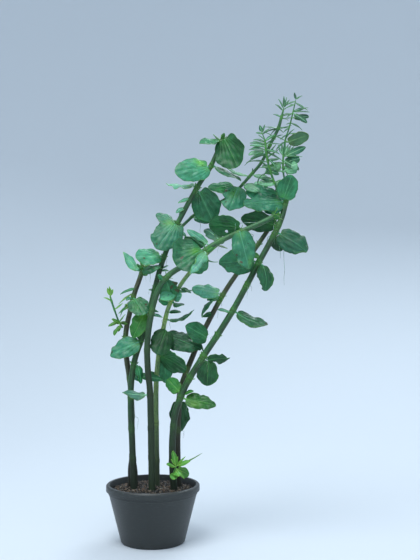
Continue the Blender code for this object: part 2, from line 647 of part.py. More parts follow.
def add_soil(axes):
    """Makes the soil: a low lumpy mound that fills the pot, with a pocket for each stem's foot."""
    base = POT_FLOOR + GAP
    edge = pot_inside(SOIL_EDGE) - 2 * GAP
    profile = [(0, base), (pot_inside(base) - 2 * GAP, base), (edge, SOIL_EDGE)]
    for share in reversed(SOIL_RINGS):
        profile.append((edge * share, SOIL_EDGE + (SOIL_CROWN - SOIL_EDGE) * (1 - share ** 2)))
    profile.append((0, SOIL_CROWN))
    mesh = turned(profile, SOIL_SIDES)
    for corner in mesh.verts:
        if corner.co.z > SOIL_EDGE + 0.1 * MM:
            corner.co.z += SOIL_LUMP * noise.noise(corner.co / SOIL_LUMP_SIZE)
    soil = add_object("soil", mesh, "soil")
    for axis in axes:
        rings = tube_rings(axis, STEM_STEP, STEM_SIDES, grow=GAP, top=POCKET_TOP)
        below = GAP * tangent(axis.curve, 0)
        rings[0] = [corner - below for corner in rings[0]]
        mesh = bmesh.new()
        loft(mesh, rings)
        combine(soil, "DIFFERENCE", add_object(axis.name + "_pocket", mesh))


def main():
    """Removes the scene's objects and makes the potted plant."""
    for old in list(bpy.data.objects):
        bpy.data.objects.remove(old)
    axes = {stem.name: Axis(stem) for stem in STEMS}
    add_pot()
    add_soil(axes.values())
    for stem in STEMS:
        mesh = bmesh.new()
        tube(mesh, axes[stem.name], STEM_STEP, STEM_SIDES)
        add_object(stem.name, mesh, stem.finish)
    axes["branch_top"] = add_twig([BRANCH], [BRANCH_BLADES])
    axes["shoot_fine"] = add_twig([NEEDLE_TWIG, NEEDLE_FORK], [NEEDLE_BLADES, FORK_BLADES])
    add_twig([LEFT_TWIG], [LEFT_BLADES])
    add_twig([FOOT_TWIG], [FOOT_BLADES])
    for leaf in LEAVES:
        add_leaf(leaf, axes)


main()
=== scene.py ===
"""Dresses the potted rotala: veined leaves, ribbed stems, fine shoots, hair roots, gravel and a moulded pot.

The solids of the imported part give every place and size. A leaf or a stem is read back from the rings of its
solid, and its finished piece is modelled on that form. The small shoots repeat the routes and blades that
their solids were made from, in millimetres as the front view shows them: across to the right, up from the
surface that the pot stands on, and deep, away from the viewer.
"""

from __future__ import annotations

import json
import logging
import math
import random
from collections.abc import Callable, Iterable, Sequence
from dataclasses import dataclass
from enum import Enum
from functools import partial
from itertools import takewhile

import bmesh
import bpy
import numpy as np
from mathutils import Matrix, Vector

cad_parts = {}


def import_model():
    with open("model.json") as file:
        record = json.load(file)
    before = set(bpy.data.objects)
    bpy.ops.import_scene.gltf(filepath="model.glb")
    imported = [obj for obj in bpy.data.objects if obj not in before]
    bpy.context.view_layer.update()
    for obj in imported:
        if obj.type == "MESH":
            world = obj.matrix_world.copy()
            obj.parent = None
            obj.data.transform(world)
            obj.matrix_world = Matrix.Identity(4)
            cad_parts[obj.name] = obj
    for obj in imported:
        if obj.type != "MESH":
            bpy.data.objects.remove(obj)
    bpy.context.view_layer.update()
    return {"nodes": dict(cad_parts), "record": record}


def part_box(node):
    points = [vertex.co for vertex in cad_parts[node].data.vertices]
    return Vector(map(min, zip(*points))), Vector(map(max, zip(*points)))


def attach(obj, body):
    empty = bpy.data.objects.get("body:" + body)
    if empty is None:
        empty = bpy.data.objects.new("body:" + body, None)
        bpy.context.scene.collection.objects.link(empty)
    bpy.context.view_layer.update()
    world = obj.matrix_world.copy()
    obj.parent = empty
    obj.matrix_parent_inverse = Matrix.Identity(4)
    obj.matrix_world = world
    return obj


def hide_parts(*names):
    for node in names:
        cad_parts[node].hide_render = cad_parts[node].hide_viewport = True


log = logging.getLogger("rotala")

MM = 0.001
WELD = 1e-6
MATH = "Math"
RANGE = "MapRange"
NOISE = "TexNoise"
BODY = "root"

Array = np.ndarray
Piece = bpy.types.Object
Socket = bpy.types.NodeSocket
AddNode = Callable[..., Socket]

VIEW_DISTANCE = 700 * MM
VIEW_ACROSS = 42.75 * MM
VIEW_UP = 195.75 * MM
VIEW_LENS = 60
VIEW_SENSOR = 36

# The rings of a leaf's solid lie at these shares of its blade.
BLADE_STATIONS = (0.13, 0.37, 0.63, 0.86)
LEAF_RINGS = len(BLADE_STATIONS) + 2

# Side veins fan out from a leaf's base. Each keeps one value of across / (along + FAN_ROOT) ** FAN_POWER, in
# mm, and the next one outwards has a value that is FAN_STEP larger.
FAN_ROOT = 2.5
FAN_POWER = 0.65
FAN_STEP = 0.6

# A heart-shaped base reaches back most at this share of the blade.
LOBE_SHARE = 0.09

# The way, up and to the left, that the stems' painted light comes from: the stem skins paint the side of a
# stem that faces it lighter and the side turned away in painted shade.
PAINTED_LIGHT_SIDE = (-0.75, -0.1, 0.65)

# A scorched patch of a leaf, specks of algae on it and the cork of a leaf scar.
BURNT, ALGAE, CORK = "#43391f", "#1d2c17", "#2b2417"


def linear(colour: str) -> tuple[float, float, float, float]:
    """Turns an sRGB hex colour into a linear one.

    Args:
        colour: the colour as "#rrggbb".

    Returns:
        Its linear red, green and blue, with an alpha of 1.
    """
    shares = [int(colour[i:i + 2], 16) / 255 for i in (1, 3, 5)]
    red, green, blue = (s / 12.92 if s <= 0.04045 else ((s + 0.055) / 1.055) ** 2.4 for s in shares)
    return red, green, blue, 1.0


def fill_inputs(node: bpy.types.Node, inputs: dict) -> None:
    """Sets a node's inputs by name or number; a value that is an output socket is linked."""
    for key, value in inputs.items():
        if isinstance(value, Socket):
            node.id_data.links.new(value, node.inputs[key])
        else:
            node.inputs[key].default_value = value


def add_node(tree: bpy.types.NodeTree, kind: str, inputs: dict | None = None, out: int | str = 0,
             **settings) -> Socket:
    """Adds a node to a material.

    Args:
        tree: the material's node tree.
        kind: the node's type name, without the ShaderNode that it begins with.
        inputs: values or output sockets by input name or number.
        out: the name or number of the output that is wanted.
        settings: the node's own properties.

    Returns:
        The wanted output socket of the new node.
    """
    node = tree.nodes.new("ShaderNode" + kind)
    for key, value in settings.items():
        setattr(node, key, value)
    fill_inputs(node, inputs or {})
    return node.outputs[out]


def layered(add: AddNode, base: str, layers: Iterable[tuple[str, Socket]]) -> Socket:
    """Paints colours over a base, each where its mask says.

    Args:
        add: adds a node to the material.
        base: the hex colour underneath.
        layers: pairs of a hex colour and the output socket that says how much of it shows.

    Returns:
        The output socket of the finished colour.
    """
    below = add("RGB")
    below.default_value = linear(base)
    for colour, mask in layers:
        below = add("Mix", {0: mask, 6: below, 7: linear(colour)}, 2, data_type="RGBA")
    return below


class Finish:
    """A finish, whose material is made the first time that it is asked for.

    Attributes:
        kind: what it is the finish of, set before its name.
    """

    kind = ""

    def shader_inputs(self, add: AddNode, solid: Socket) -> dict:
        """Lays out the pattern.

        Args:
            add: adds a node to the material.
            solid: the output socket of the object's own coordinates.

        Returns:
            The shader's inputs by name.
        """
        raise NotImplementedError

    def material(self) -> bpy.types.Material:
        """The finish as a material."""
        title = self.kind + self.name
        made = bpy.data.materials.get(title)
        if made is None:
            made = bpy.data.materials.new(title)
            made.use_nodes = True
            add = partial(add_node, made.node_tree)
            solid = add("TexCoord", out="Object")
            fill_inputs(made.node_tree.nodes["Principled BSDF"], self.shader_inputs(add, solid))
        return made


@dataclass(frozen=True)
class LeafTissue(Finish):
    """Living leaf tissue: a thin waxy skin over watery cells, which lets some light through.

    Attributes:
        name: the record's slot, or a name of its own for the leaves of a shoot.
        face: the colour of the upper face.
        under: the colour of the underside, duller and bluer.
        vein: the colour of the midrib and side veins, paler than the face.
        deep: the colour of the denser patches between the veins.
        glow: the young yellow-green near the stalk; the same colour is painted rim light along the lip of the
            margin and on the thin glow strips along some margins.
        margin: the thin dark line inside that lip.
        specks: how many small dark specks of algae sit on it, from 0 to 1.
        shine: the roughness of the wax, lower on young leaves.
    """

    name: str
    face: str
    under: str
    vein: str
    deep: str
    glow: str
    margin: str
    specks: float
    shine: float

    kind = "leaf tissue, "

    @property
    def slot(self) -> str:
        """The record's slot that it is the finish of."""
        return self.name if self.name.startswith("leaf_") else "shoot"

    def veins(self, add: AddNode, place: Socket, rim: Socket, wander: Socket) -> Socket:
        """Draws the midrib and the side veins.

        Args:
            add: adds a node to the material.
            place: the output socket of the blade_place attribute.
            rim: the output socket of the distance to the margin in mm.
            wander: the output socket of a noise that bends the side veins.

        Returns:
            The output socket that is 1 on a vein and 0 between the veins.
        """
        across, along, share = add("SeparateXYZ", {0: place}).node.outputs
        off = add(MATH, {0: across}, operation="ABSOLUTE")
        # The midrib is about 1 mm wide at the base and thins out towards the tip.
        wide = add(RANGE, {0: share, 3: 0.62, 4: 0.16})
        rib = add(RANGE, {0: off, 1: wide, 2: 0.06, 4: 0.9}, interpolation_type="SMOOTHSTEP")
        # Side veins stand 1 to 4 mm apart.
        root = add(MATH, {0: add(MATH, {0: along, 1: FAN_ROOT}), 1: 0.5}, operation="MAXIMUM")
        root = add(MATH, {0: root, 1: FAN_POWER}, operation="POWER")
        fan = add(MATH, {0: off, 1: root}, operation="DIVIDE")
        sway = add(RANGE, {0: wander, 1: 0.3, 2: 0.7, 3: -0.12, 4: 0.12})
        turn = add(MATH, {0: add(MATH, {0: fan, 1: sway}), 1: FAN_STEP}, operation="DIVIDE")
        turn = add(MATH, {0: turn, 1: 0.5}, operation="PINGPONG")
        side = add(RANGE, {0: turn, 1: 0.13, 2: 0, 4: 0.34}, interpolation_type="SMOOTHSTEP")
        for faded in ({0: rim, 1: 0.3, 2: 3}, {0: share, 1: 0.25, 2: 0.95, 3: 1, 4: 0.35}):
            side = add(MATH, {0: side, 1: add(RANGE, faded)}, operation="MULTIPLY")
        return add(MATH, {0: rib, 1: side}, operation="MAXIMUM")

    def specked(self, add: AddNode, solid: Socket) -> Socket:
        """Scatters specks of 0.3 to 0.8 mm in clusters; returns the output socket that is 1 on a speck."""
        cells = add("TexVoronoi", {"Vector": solid, "Scale": 480}).node.outputs
        spread = add(RANGE, {0: cells["Distance"], 1: 0.3, 2: 0.16})
        chosen = add("SeparateColor", {0: cells["Color"]})
        chosen = add(MATH, {0: chosen, 1: 1 - self.specks * 0.5}, operation="GREATER_THAN")
        crowd = add(NOISE, {"Vector": solid, "Scale": 95, "Detail": 1})
        crowd = add(RANGE, {0: crowd, 1: 0.5, 2: 0.6, 4: 0.8})
        speck = add(MATH, {0: spread, 1: chosen}, operation="MULTIPLY")
        return add(MATH, {0: speck, 1: crowd}, operation="MULTIPLY")

    def shader_inputs(self, add: AddNode, solid: Socket) -> dict:
        """Lays out the veins, patches, painted rim light and highlights, specks and margin; returns the
        shader's inputs.
        """
        place, marks, sides = (add("Attribute", out="Vector", attribute_name="blade_" + name)
                               for name in ("place", "marks", "sides"))
        # The glow channel holds young yellow-green and painted rim light; the pale one holds pale tissue,
        # painted glints and painted light.
        glow, burn, pale = add("SeparateXYZ", {0: marks}).node.outputs
        under, rim, tone = add("SeparateXYZ", {0: sides}).node.outputs
        cloud = add(NOISE, {"Vector": solid, "Scale": 110, "Detail": 3, "Roughness": 0.55})
        fine = add(NOISE, {"Vector": solid, "Scale": 520, "Detail": 3, "Roughness": 0.6})
        veins = self.veins(add, place, rim, cloud)
        # The net of small veins has meshes of about 1.2 mm, coarser than the real ones so that it shows.
        net = add("TexVoronoi", {"Vector": solid, "Scale": 820}, feature="DISTANCE_TO_EDGE")
        net = add(RANGE, {0: net, 1: 0.12, 2: 0, 4: 0.16})
        dense = add(RANGE, {0: cloud, 1: 0.42, 2: 0.64, 4: 0.85}, interpolation_type="SMOOTHSTEP")
        # A burnt patch has a ragged edge, which the fine noise gives it.
        ragged = add(MATH, {0: fine, 1: 0.9, 2: burn}, operation="MULTIPLY_ADD")
        burnt = add(RANGE, {0: ragged, 1: 0.85, 4: 0.9})
        # Painted rim light: a line of the glow colour along the lip of the margin.
        lip = add(RANGE, {0: rim, 1: 0.28, 2: 0, 4: 0.75})
        edge = add(RANGE, {0: rim, 1: 1, 2: 0.2, 4: 0.6})
        back = add(MATH, {0: under, 1: 0.7}, operation="MULTIPLY")
        colour = layered(add, self.face, (
            (self.under, back), (self.deep, dense), (self.glow, glow), (self.vein, net), (self.vein, veins),
            (self.vein, pale), (BURNT, burnt), (ALGAE, self.specked(add, solid)), (self.margin, edge),
            (self.glow, lip)))
        # The tone lifts or darkens the whole leaf; it holds painted light and shade besides the leaf's own
        # tone.
        lift = add(RANGE, {0: tone, 1: -1, 3: 0.55, 4: 1.45})
        grain = add(RANGE, {0: fine, 1: 0.3, 2: 0.7, 3: 0.88, 4: 1.12})
        value = add(MATH, {0: lift, 1: grain}, operation="MULTIPLY")
        # Veins are sunk on the upper face and raised on the underside.
        sign = add(RANGE, {0: under, 3: -1})
        height = add(MATH, {0: veins, 1: sign}, operation="MULTIPLY")
        height = add(MATH, {0: fine, 1: 0.5, 2: height}, operation="MULTIPLY_ADD")
        return {
            "Base Color": add("HueSaturation", {"Color": colour, "Value": value}),
            "Roughness": add(RANGE, {0: fine, 1: 0.3, 2: 0.7, 3: self.shine - 0.06, 4: self.shine + 0.12}),
            "Normal": add("Bump", {"Height": height, "Strength": 0.45, "Distance": 0.22 * MM}),
            "IOR": 1.42, "Subsurface Weight": 0.3, "Subsurface Radius": (0.5, 1, 0.25),
            "Subsurface Scale": 0.6 * MM}


@dataclass(frozen=True)
class StemSkin(Finish):
    """A stem's smooth watery skin: painted light on the side that faces up and to the left, painted shade on
    the side turned away, browner between its nodes and darker towards the bottom.

    Attributes:
        name: the record's slot, or a name of its own for a younger stretch.
        light: the colour painted as light on the side that faces up and to the left.
        shade: the colour painted as shade on the side turned away from it.
        brown: the colour that the stretches between the nodes turn to.
        node: the yellow-green of the nodes.
        streak: the colour of the fine lines along the stem.
        foot: the colour that the stem darkens to towards the bottom.
        browning: how far the stretches between the nodes have turned, from 0 to 1.
    """

    name: str
    light: str
    shade: str
    brown: str
    node: str
    streak: str
    foot: str
    browning: float

    kind = "stem skin, "

    def shader_inputs(self, add: AddNode, solid: Socket) -> dict:
        """Lays out the painted light and shade of the sides, the nodes, the streaks and the darkening towards
        the bottom; returns the shader's inputs.
        """
        space, nature = (add("Attribute", out="Vector", attribute_name="stem_" + name)
                         for name in ("space", "nature"))
        knot, scar, low = add("SeparateXYZ", {0: nature}).node.outputs
        # Painted light and shade: how far each face turns up and to the left mixes the light colour over the
        # shade one.
        facing = add("NewGeometry", out="Normal")
        facing = add("VectorMath", {0: facing, 1: PAINTED_LIGHT_SIDE}, "Value", operation="DOT_PRODUCT")
        painted_light_mask = add(RANGE, {0: facing, 1: -0.35, 2: 0.55}, interpolation_type="SMOOTHSTEP")
        # Streaks are 0.4 mm wide and about 8 mm long, in the stem's own straightened space.
        drawn = add("Mapping", {"Vector": space, "Scale": (1, 1, 0.05)})
        streak = add(NOISE, {"Vector": drawn, "Scale": 2.6, "Detail": 3})
        streak = add(RANGE, {0: streak, 1: 0.5, 2: 0.66, 4: 0.6})
        cloud = add(NOISE, {"Vector": space, "Scale": 0.16, "Detail": 3})
        cloud = add(RANGE, {0: cloud, 1: 0.3, 2: 0.6, 3: 0.15})
        away = add(MATH, {0: 1, 1: knot}, operation="SUBTRACT")
        brown = add(MATH, {0: away, 1: cloud}, operation="MULTIPLY")
        brown = add(MATH, {0: brown, 1: self.browning}, operation="MULTIPLY")
        young = add(MATH, {0: knot, 1: 0.7}, operation="MULTIPLY")
        grit = add(NOISE, {"Vector": solid, "Scale": 700, "Detail": 3})
        grit = add(RANGE, {0: grit, 1: 0.52, 2: 0.68, 4: 0.55})
        height = add(MATH, {0: grit, 1: 0.6, 2: add(MATH, {0: streak, 1: scar})}, operation="MULTIPLY_ADD")
        return {
            "Base Color": layered(add, self.shade, (
                (self.light, painted_light_mask), (self.brown, brown), (self.streak, streak), (self.node, young),
                (self.foot, low), (CORK, scar), (self.foot, grit))),
            "Roughness": add(RANGE, {0: low, 3: 0.38, 4: 0.7}),
            "Normal": add("Bump", {"Height": height, "Strength": 0.5, "Distance": 0.15 * MM},
                          invert=True),
            "IOR": 1.42, "Subsurface Weight": 0.2, "Subsurface Radius": (0.6, 1, 0.3),
            "Subsurface Scale": 0.8 * MM}


@dataclass(frozen=True)
class RootHair(Finish):
    """White-green hair roots: thin wet threads that light shines through."""

    name: str = "root hair"
    colour: str = "#8fb09c"
    old: str = "#587a64"

    def shader_inputs(self, add: AddNode, solid: Socket) -> dict:
        """Lays out the older patches; returns the shader's inputs."""
        patch = add(RANGE, {0: add(NOISE, {"Vector": solid, "Scale": 180}), 1: 0.4, 2: 0.65})
        return {"Base Color": layered(add, self.colour, ((self.old, patch),)),
                "Roughness": 0.35, "IOR": 1.38, "Subsurface Weight": 0.5, "Subsurface Scale": 0.3 * MM}


@dataclass(frozen=True)
class AquariumGravel(Finish):
    """Washed aquarium gravel: dull mineral grains, near black with brown and grey ones among them."""

    name: str
    tones: tuple[str, ...]

    def shader_inputs(self, add: AddNode, solid: Socket) -> dict:
        """Picks each grain's tone by its grain_tone attribute; returns the shader's inputs."""
        picked = add("ValToRGB", {0: add("Attribute", out="Fac", attribute_name="grain_tone")})
        ramp = picked.node.color_ramp
        ramp.interpolation = "CONSTANT"
        while len(ramp.elements) < len(self.tones):
            ramp.elements.new(0.5)
        for i, colour in enumerate(self.tones):
            ramp.elements[i].position = i / len(self.tones)
            ramp.elements[i].color = linear(colour)
        # Mineral flecks of about 0.3 mm lie in each grain.
        fleck = add(NOISE, {"Vector": solid, "Scale": 1500, "Detail": 3})
        shade = add(RANGE, {0: fleck, 1: 0.3, 2: 0.7, 3: 0.6, 4: 1.5})
        return {"Base Color": add("HueSaturation", {"Color": picked, "Value": shade}),
                "Roughness": add(RANGE, {0: fleck, 3: 0.5, 4: 0.85}),
                "Normal": add("Bump", {"Height": fleck, "Strength": 0.5, "Distance": 0.2 * MM})}


@dataclass(frozen=True)
class PotPlastic(Finish):
    """Black polypropylene, injection moulded: an even satin skin, faintly grained, with a scuffed rim."""

    name: str = "moulded polypropylene"
    colour: str = "#2b2f2e"
    scuffed: str = "#4b504e"

    def shader_inputs(self, add: AddNode, solid: Socket) -> dict:
        """Lays out the grain and the scuffs, which thicken towards the rim; returns the shader's inputs."""
        # The mould's spark-eroded grain is about 0.5 mm; scuffs are longer and lie round the pot.
        grain = add(NOISE, {"Vector": solid, "Scale": 1400, "Detail": 2})
        drawn = add("Mapping", {"Vector": solid, "Scale": (1, 1, 9)})
        scuff = add(NOISE, {"Vector": drawn, "Scale": 260, "Detail": 5})
        scuff = add(RANGE, {0: scuff, 1: 0.56, 2: 0.7, 4: 0.8})
        worn = add(RANGE, {0: add("SeparateXYZ", {0: solid}, "Z"), 1: 30 * MM, 2: 43 * MM, 3: 0.25})
        scuff = add(MATH, {0: scuff, 1: worn}, operation="MULTIPLY")
        return {"Base Color": layered(add, self.colour, ((self.scuffed, scuff),)),
                "Roughness": add(RANGE, {0: grain, 1: 0.3, 2: 0.7, 3: 0.36, 4: 0.5}),
                "Normal": add("Bump", {"Height": grain, "Strength": 0.3, "Distance": 0.08 * MM}),
                "IOR": 1.49}


@dataclass(frozen=True)
class StudioPaper(Finish):
    """Pale matt studio paper for the floor and the backdrop."""

    name: str = "studio paper"
    colour: str = "#d0d8df"

    def shader_inputs(self, add: AddNode, solid: Socket) -> dict:
        """Lays out the paper's fibre; returns the shader's inputs."""
        fibre = add(NOISE, {"Vector": solid, "Scale": 30, "Detail": 3})
        return {"Base Color": linear(self.colour), "Roughness": add(RANGE, {0: fibre, 3: 0.75, 4: 0.9})}


# The dark and shade tissues are darker partly as painted shade: many of their leaves are seen from below, on
# the side that lies in shadow.
LEAF_FINISHES = {tissue.name: tissue for tissue in (
    LeafTissue("leaf_pale", "#559e80", "#62ac93", "#8cc3a0", "#3d8464", "#80b65c", "#356e52", 0.9, 0.45),
    LeafTissue("leaf_light", "#317c5b", "#3d8970", "#5da67e", "#266a48", "#5a9a3a", "#1a4434", 0.5, 0.42),
    LeafTissue("leaf_bright", "#307b33", "#347f48", "#62a24e", "#216627", "#66a436", "#1d4e22", 0.2, 0.4),
    LeafTissue("leaf_middle", "#28764c", "#37896b", "#559f6a", "#1c5c3a", "#539a38", "#144434", 0.4, 0.42),
    LeafTissue("leaf_dark", "#246b40", "#327b54", "#549c6a", "#1b5533", "#428a36", "#123e2c", 0.3, 0.44),
    LeafTissue("leaf_shade", "#1c552b", "#235f37", "#458648", "#164423", "#347a2c", "#0f2f1f", 0.3, 0.46),
    LeafTissue("leaf_olive", "#4d7a4a", "#4b7c58", "#74a168", "#3d6240", "#6f9048", "#3d4c34", 0.4, 0.46),
    LeafTissue("needles", "#286c4c", "#35795e", "#93c79c", "#1c563e", "#4c923e", "#164636", 0.1, 0.56),
    LeafTissue("young leaves", "#52a03a", "#55a04c", "#8cc05a", "#3c8a34", "#8cc03c", "#2f6c28", 0.1, 0.42),
)}
STEM_FINISHES = {skin.name: skin for skin in (
    StemSkin("stem_green", "#2f6a3c", "#23442c", "#36422a", "#4d8836", "#437244", "#232f20", 0.55),
    StemSkin("young green stem", "#3a7848", "#2f5f3c", "#45553c", "#5a9440", "#4e8050", "#2a3a26", 0.45),
    StemSkin("stem_brown", "#4c6a44", "#363f2e", "#4a3f2e", "#5c8a3a", "#5e664c", "#27281f", 0.75),
    StemSkin("stem_pale", "#8fb468", "#5f8f54", "#6c8a50", "#9cc060", "#b4c98a", "#41503a", 0.35),
    StemSkin("shoot", "#37804a", "#235e40", "#36683c", "#5e9c3e", "#5c9a54", "#2c5a2e", 0.3),
)}
# Stems with a younger skin than their slot's: its finish, and the height below which it darkens.
YOUNG_TOPS = {"stem_crossing": ("young green stem", 222 * MM)}
GRAVEL = AquariumGravel("washed aquarium gravel", (
    "#2a2723", "#38322b", "#463b30", "#211f1d", "#5a4a3a", "#3f3e3c", "#6d6354", "#2f2a24"))


def distances(rows: Array) -> Array:
    """How far along a route each of its rows lies, in metres."""
    steps = np.linalg.norm(np.diff(rows[:, :3], axis=0), axis=1)
    return np.concatenate([[0], np.cumsum(steps)])


def closed(rows: Array) -> Array:
    """The rows of x, y, z and radius with both ends drawn in to a point."""
    return np.vstack([[*rows[0, :3], 0], rows, [*rows[-1, :3], 0]])


def smooth_rows(rows: Array, step: float) -> Array:
    """Rows at an even step on a smooth curve through the given rows.

    Args:
        rows: points as rows of x, y, z and any further values.
        step: the distance between two new rows, in metres.

    Returns:
        The new rows, with the further values carried along.
    """
    ends = np.vstack([2 * rows[0] - rows[1], rows, 2 * rows[-1] - rows[-2]])
    fine = []
    for before, start, end, after in zip(ends, ends[1:], ends[2:], ends[3:]):
        for t in np.arange(16) / 16:
            fine.append((2 * start + (end - before) * t + (2 * before - 5 * start + 4 * end - after) * t * t
                         + (3 * start - before - 3 * end + after) * t ** 3) / 2)
    fine = np.array([*fine, rows[-1]])
    run = distances(fine)
    wanted = np.linspace(0, run[-1], max(3, round(run[-1] / step) + 1))
    return np.column_stack([np.interp(wanted, run, column) for column in fine.T])


def place(across: float, up: float, deep: float) -> Vector:
    """The point, in metres, that the front view shows at (across, up) when it is deep back, all in mm."""
    spread = (VIEW_DISTANCE + deep * MM) / VIEW_DISTANCE
    return Vector((VIEW_ACROSS + (across * MM - VIEW_ACROSS) * spread, deep * MM,
                   VIEW_UP + (up * MM - VIEW_UP) * spread))


def seen_up(points: Array) -> Array:
    """The height at which the front view shows each point, in metres."""
    return VIEW_UP + (points[:, 2] - VIEW_UP) * VIEW_DISTANCE / (VIEW_DISTANCE + points[:, 1])


def add_sheet(name: str, points: Array, attributes: dict[str, Iterable], cut: Array | None = None) -> Piece:
    """Adds a grid, moves its corners to the given places and welds the ones that meet.

    Args:
        name: the piece's name.
        points: rows along the piece, then corners across it, then x, y and z.
        attributes: three values for each attribute, each a number or an array with one for each corner.
        cut: which corners lie in a hole; a face goes where all of its corners do.

    Returns:
        The sheet, whose faces look to the side that the order of its corners gives.
    """
    rows, columns = points.shape[:2]
    bpy.ops.object.select_all(action="DESELECT")
    bpy.ops.mesh.primitive_grid_add(x_subdivisions=columns - 1, y_subdivisions=rows - 1, size=1)
    made = bpy.context.object
    made.name = made.data.name = name
    made.data.vertices.foreach_set("co", points.astype(np.float32).ravel())
    for key, values in attributes.items():
        kept = made.data.attributes.new(key, "FLOAT_VECTOR", "POINT")
        full = np.stack(np.broadcast_arrays(*values, points[..., 0])[:3], axis=-1)
        kept.data.foreach_set("vector", full.astype(np.float32).ravel())
    if cut is not None and cut.any():
        inside = cut.ravel()
        bpy.context.tool_settings.mesh_select_mode = (False, False, True)
        for face in made.data.polygons:
            face.select = bool(inside[list(face.vertices)].all())
        bpy.ops.object.mode_set(mode="EDIT")
        bpy.ops.mesh.delete(type="FACE")
        bpy.ops.object.mode_set(mode="OBJECT")
    bpy.ops.object.mode_set(mode="EDIT")
    bpy.ops.mesh.select_mode(type="VERT")
    bpy.ops.mesh.select_all(action="SELECT")
    bpy.ops.mesh.remove_doubles(threshold=WELD)
    bpy.ops.object.mode_set(mode="OBJECT")
    return made


def add_turned(name: str, profile: Iterable[tuple[float, float]], sides: int) -> Piece:
    """Turns a profile about the vertical axis.

    Args:
        name: the object's name.
        profile: its corners as (radius, height), in metres.
        sides: how many faces go round.

    Returns:
        The turned sheet, closed where its ends lie on the axis.
    """
    rings = np.array(list(profile))
    angle = np.linspace(0, math.tau, sides + 1)
    points = np.stack([rings[:, :1] * np.cos(angle), rings[:, :1] * np.sin(angle),
                       np.repeat(rings[:, 1:], sides + 1, axis=1)], axis=-1)
    return add_sheet(name, points, {})


def add_tube(name: str, rows: Array, sides: int, attributes: Callable[[Array, Array], dict],
             relief: Callable[[Array, Array], Array] | None = None) -> Piece:
    """Adds a closed tube along a route.

    Args:
        name: the piece's name.
        rows: the route as rows of x, y, z and radius, where the radius is 0 at both ends.
        sides: how many sides it has.
        attributes: gives the attributes at the distances along and the angles round it.
        relief: gives the factor by which the radius grows at those places.

    Returns:
        The tube.
    """
    centre, radius = rows[:, :3], rows[:, 3]
    step = np.gradient(centre, axis=0)
    step[0], step[-1] = step[1], step[-2]
    along = step / np.linalg.norm(step, axis=1, keepdims=True)
    first = np.empty_like(along)
    guide = np.array((0.0, -1.0, 0.0))
    for i, direction in enumerate(along):
        guide = guide - guide.dot(direction) * direction
        guide /= np.linalg.norm(guide)
        first[i] = guide
    second = np.cross(along, first)
    angle = np.linspace(0, math.tau, sides + 1)
    run, angle = np.meshgrid(distances(rows), angle, indexing="ij")
    grown = radius[:, None] * (relief(run, angle) if relief else 1)
    spokes = np.cos(angle)[..., None] * first[:, None] + np.sin(angle)[..., None] * second[:, None]
    points = centre[:, None] + grown[..., None] * spokes
    made = add_sheet(name, points, attributes(run, angle))
    bpy.ops.object.shade_smooth()
    return made


def joined(name: str, pieces: Sequence[Piece]) -> Piece:
    """Joins pieces into one.

    Args:
        name: the joined piece's name.
        pieces: the pieces, of which the first one takes in the others.

    Returns:
        The joined piece.
    """
    bpy.ops.object.select_all(action="DESELECT")
    for piece in pieces:
        piece.select_set(True)
    bpy.context.view_layer.objects.active = pieces[0]
    if len(pieces) > 1:
        bpy.ops.object.join()
    pieces[0].name = pieces[0].data.name = name
    return pieces[0]


def finish_piece(piece: Piece, material: bpy.types.Material, slot: str, *nodes: str) -> None:
    """Gives a piece its material, hangs it on the body and hides the nodes of the part that it replaces.

    Args:
        piece: the finished piece.
        material: its finish.
        slot: the record's slot; not used.
        nodes: the nodes of the part that it replaces.
    """
    piece.data.materials.clear()
    piece.data.materials.append(material)
    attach(piece, BODY)
    if nodes:
        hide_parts(*nodes)
    log.info("%s: %d faces", piece.name, len(piece.data.polygons))


def read_rings(node: Piece) -> tuple[Vector, list[list[bmesh.types.BMVert]], bmesh.types.BMesh]:
    """Reads a lofted solid with eight-cornered rings back into its tip and its rings.

    Args:
        node: the solid of a leaf or a stem.

    Returns:
        The tip, the rings from the one next to the tip down to the foot, and the mesh that holds them.
    """
    mesh = bmesh.new()
    mesh.from_mesh(node.data)
    bmesh.ops.remove_doubles(mesh, verts=mesh.verts, dist=WELD)
    for corner in mesh.verts:
        if len(corner.link_edges) != 8:
            continue
        layers, seen = [[corner]], {corner}
        while layers[-1]:
            found = []
            for edge in (e for c in layers[-1] for e in c.link_edges):
                for end in edge.verts:
                    if end not in seen:
                        seen.add(end)
                        found.append(end)
            layers.append(found)
        rings = list(takewhile(lambda layer: len(layer) == 8, layers[1:]))
        if len(rings) >= LEAF_RINGS:
            return corner.co.copy(), rings, mesh
    raise ValueError(f"{node.name} has no tip with rings of eight corners below it")


def in_order(ring: list[bmesh.types.BMVert]) -> list[Vector]:
    """The corners of a ring in the order in which its edges join them."""
    members, walk = set(ring), [ring[0]]
    while len(walk) < len(ring):
        ends = (edge.other_vert(walk[-1]) for edge in walk[-1].link_edges)
        walk.append(next(end for end in ends if end in members and end not in walk))
    return [corner.co.copy() for corner in walk]


def middle(points: Iterable[Vector]) -> Vector:
    """The mean of some points."""
    points = list(points)
    return sum(points, Vector()) / len(points)


class Outline(Enum):
    """Outlines of the small blades: where each is widest and how full it is."""

    ROUND = (0.92, 0.48)
    EGG = (0.8, 0.58)
    POINTED = (0.72, 0.85)

    def half_width(self, width: float) -> Callable[[Array], Array]:
        """Gives half the width of a blade at shares of its length."""
        lean, fullness = self.value
        return lambda share: width / 2 * np.sin(np.pi * np.clip(share, 0, 1) ** lean).clip(0, 1) ** fullness


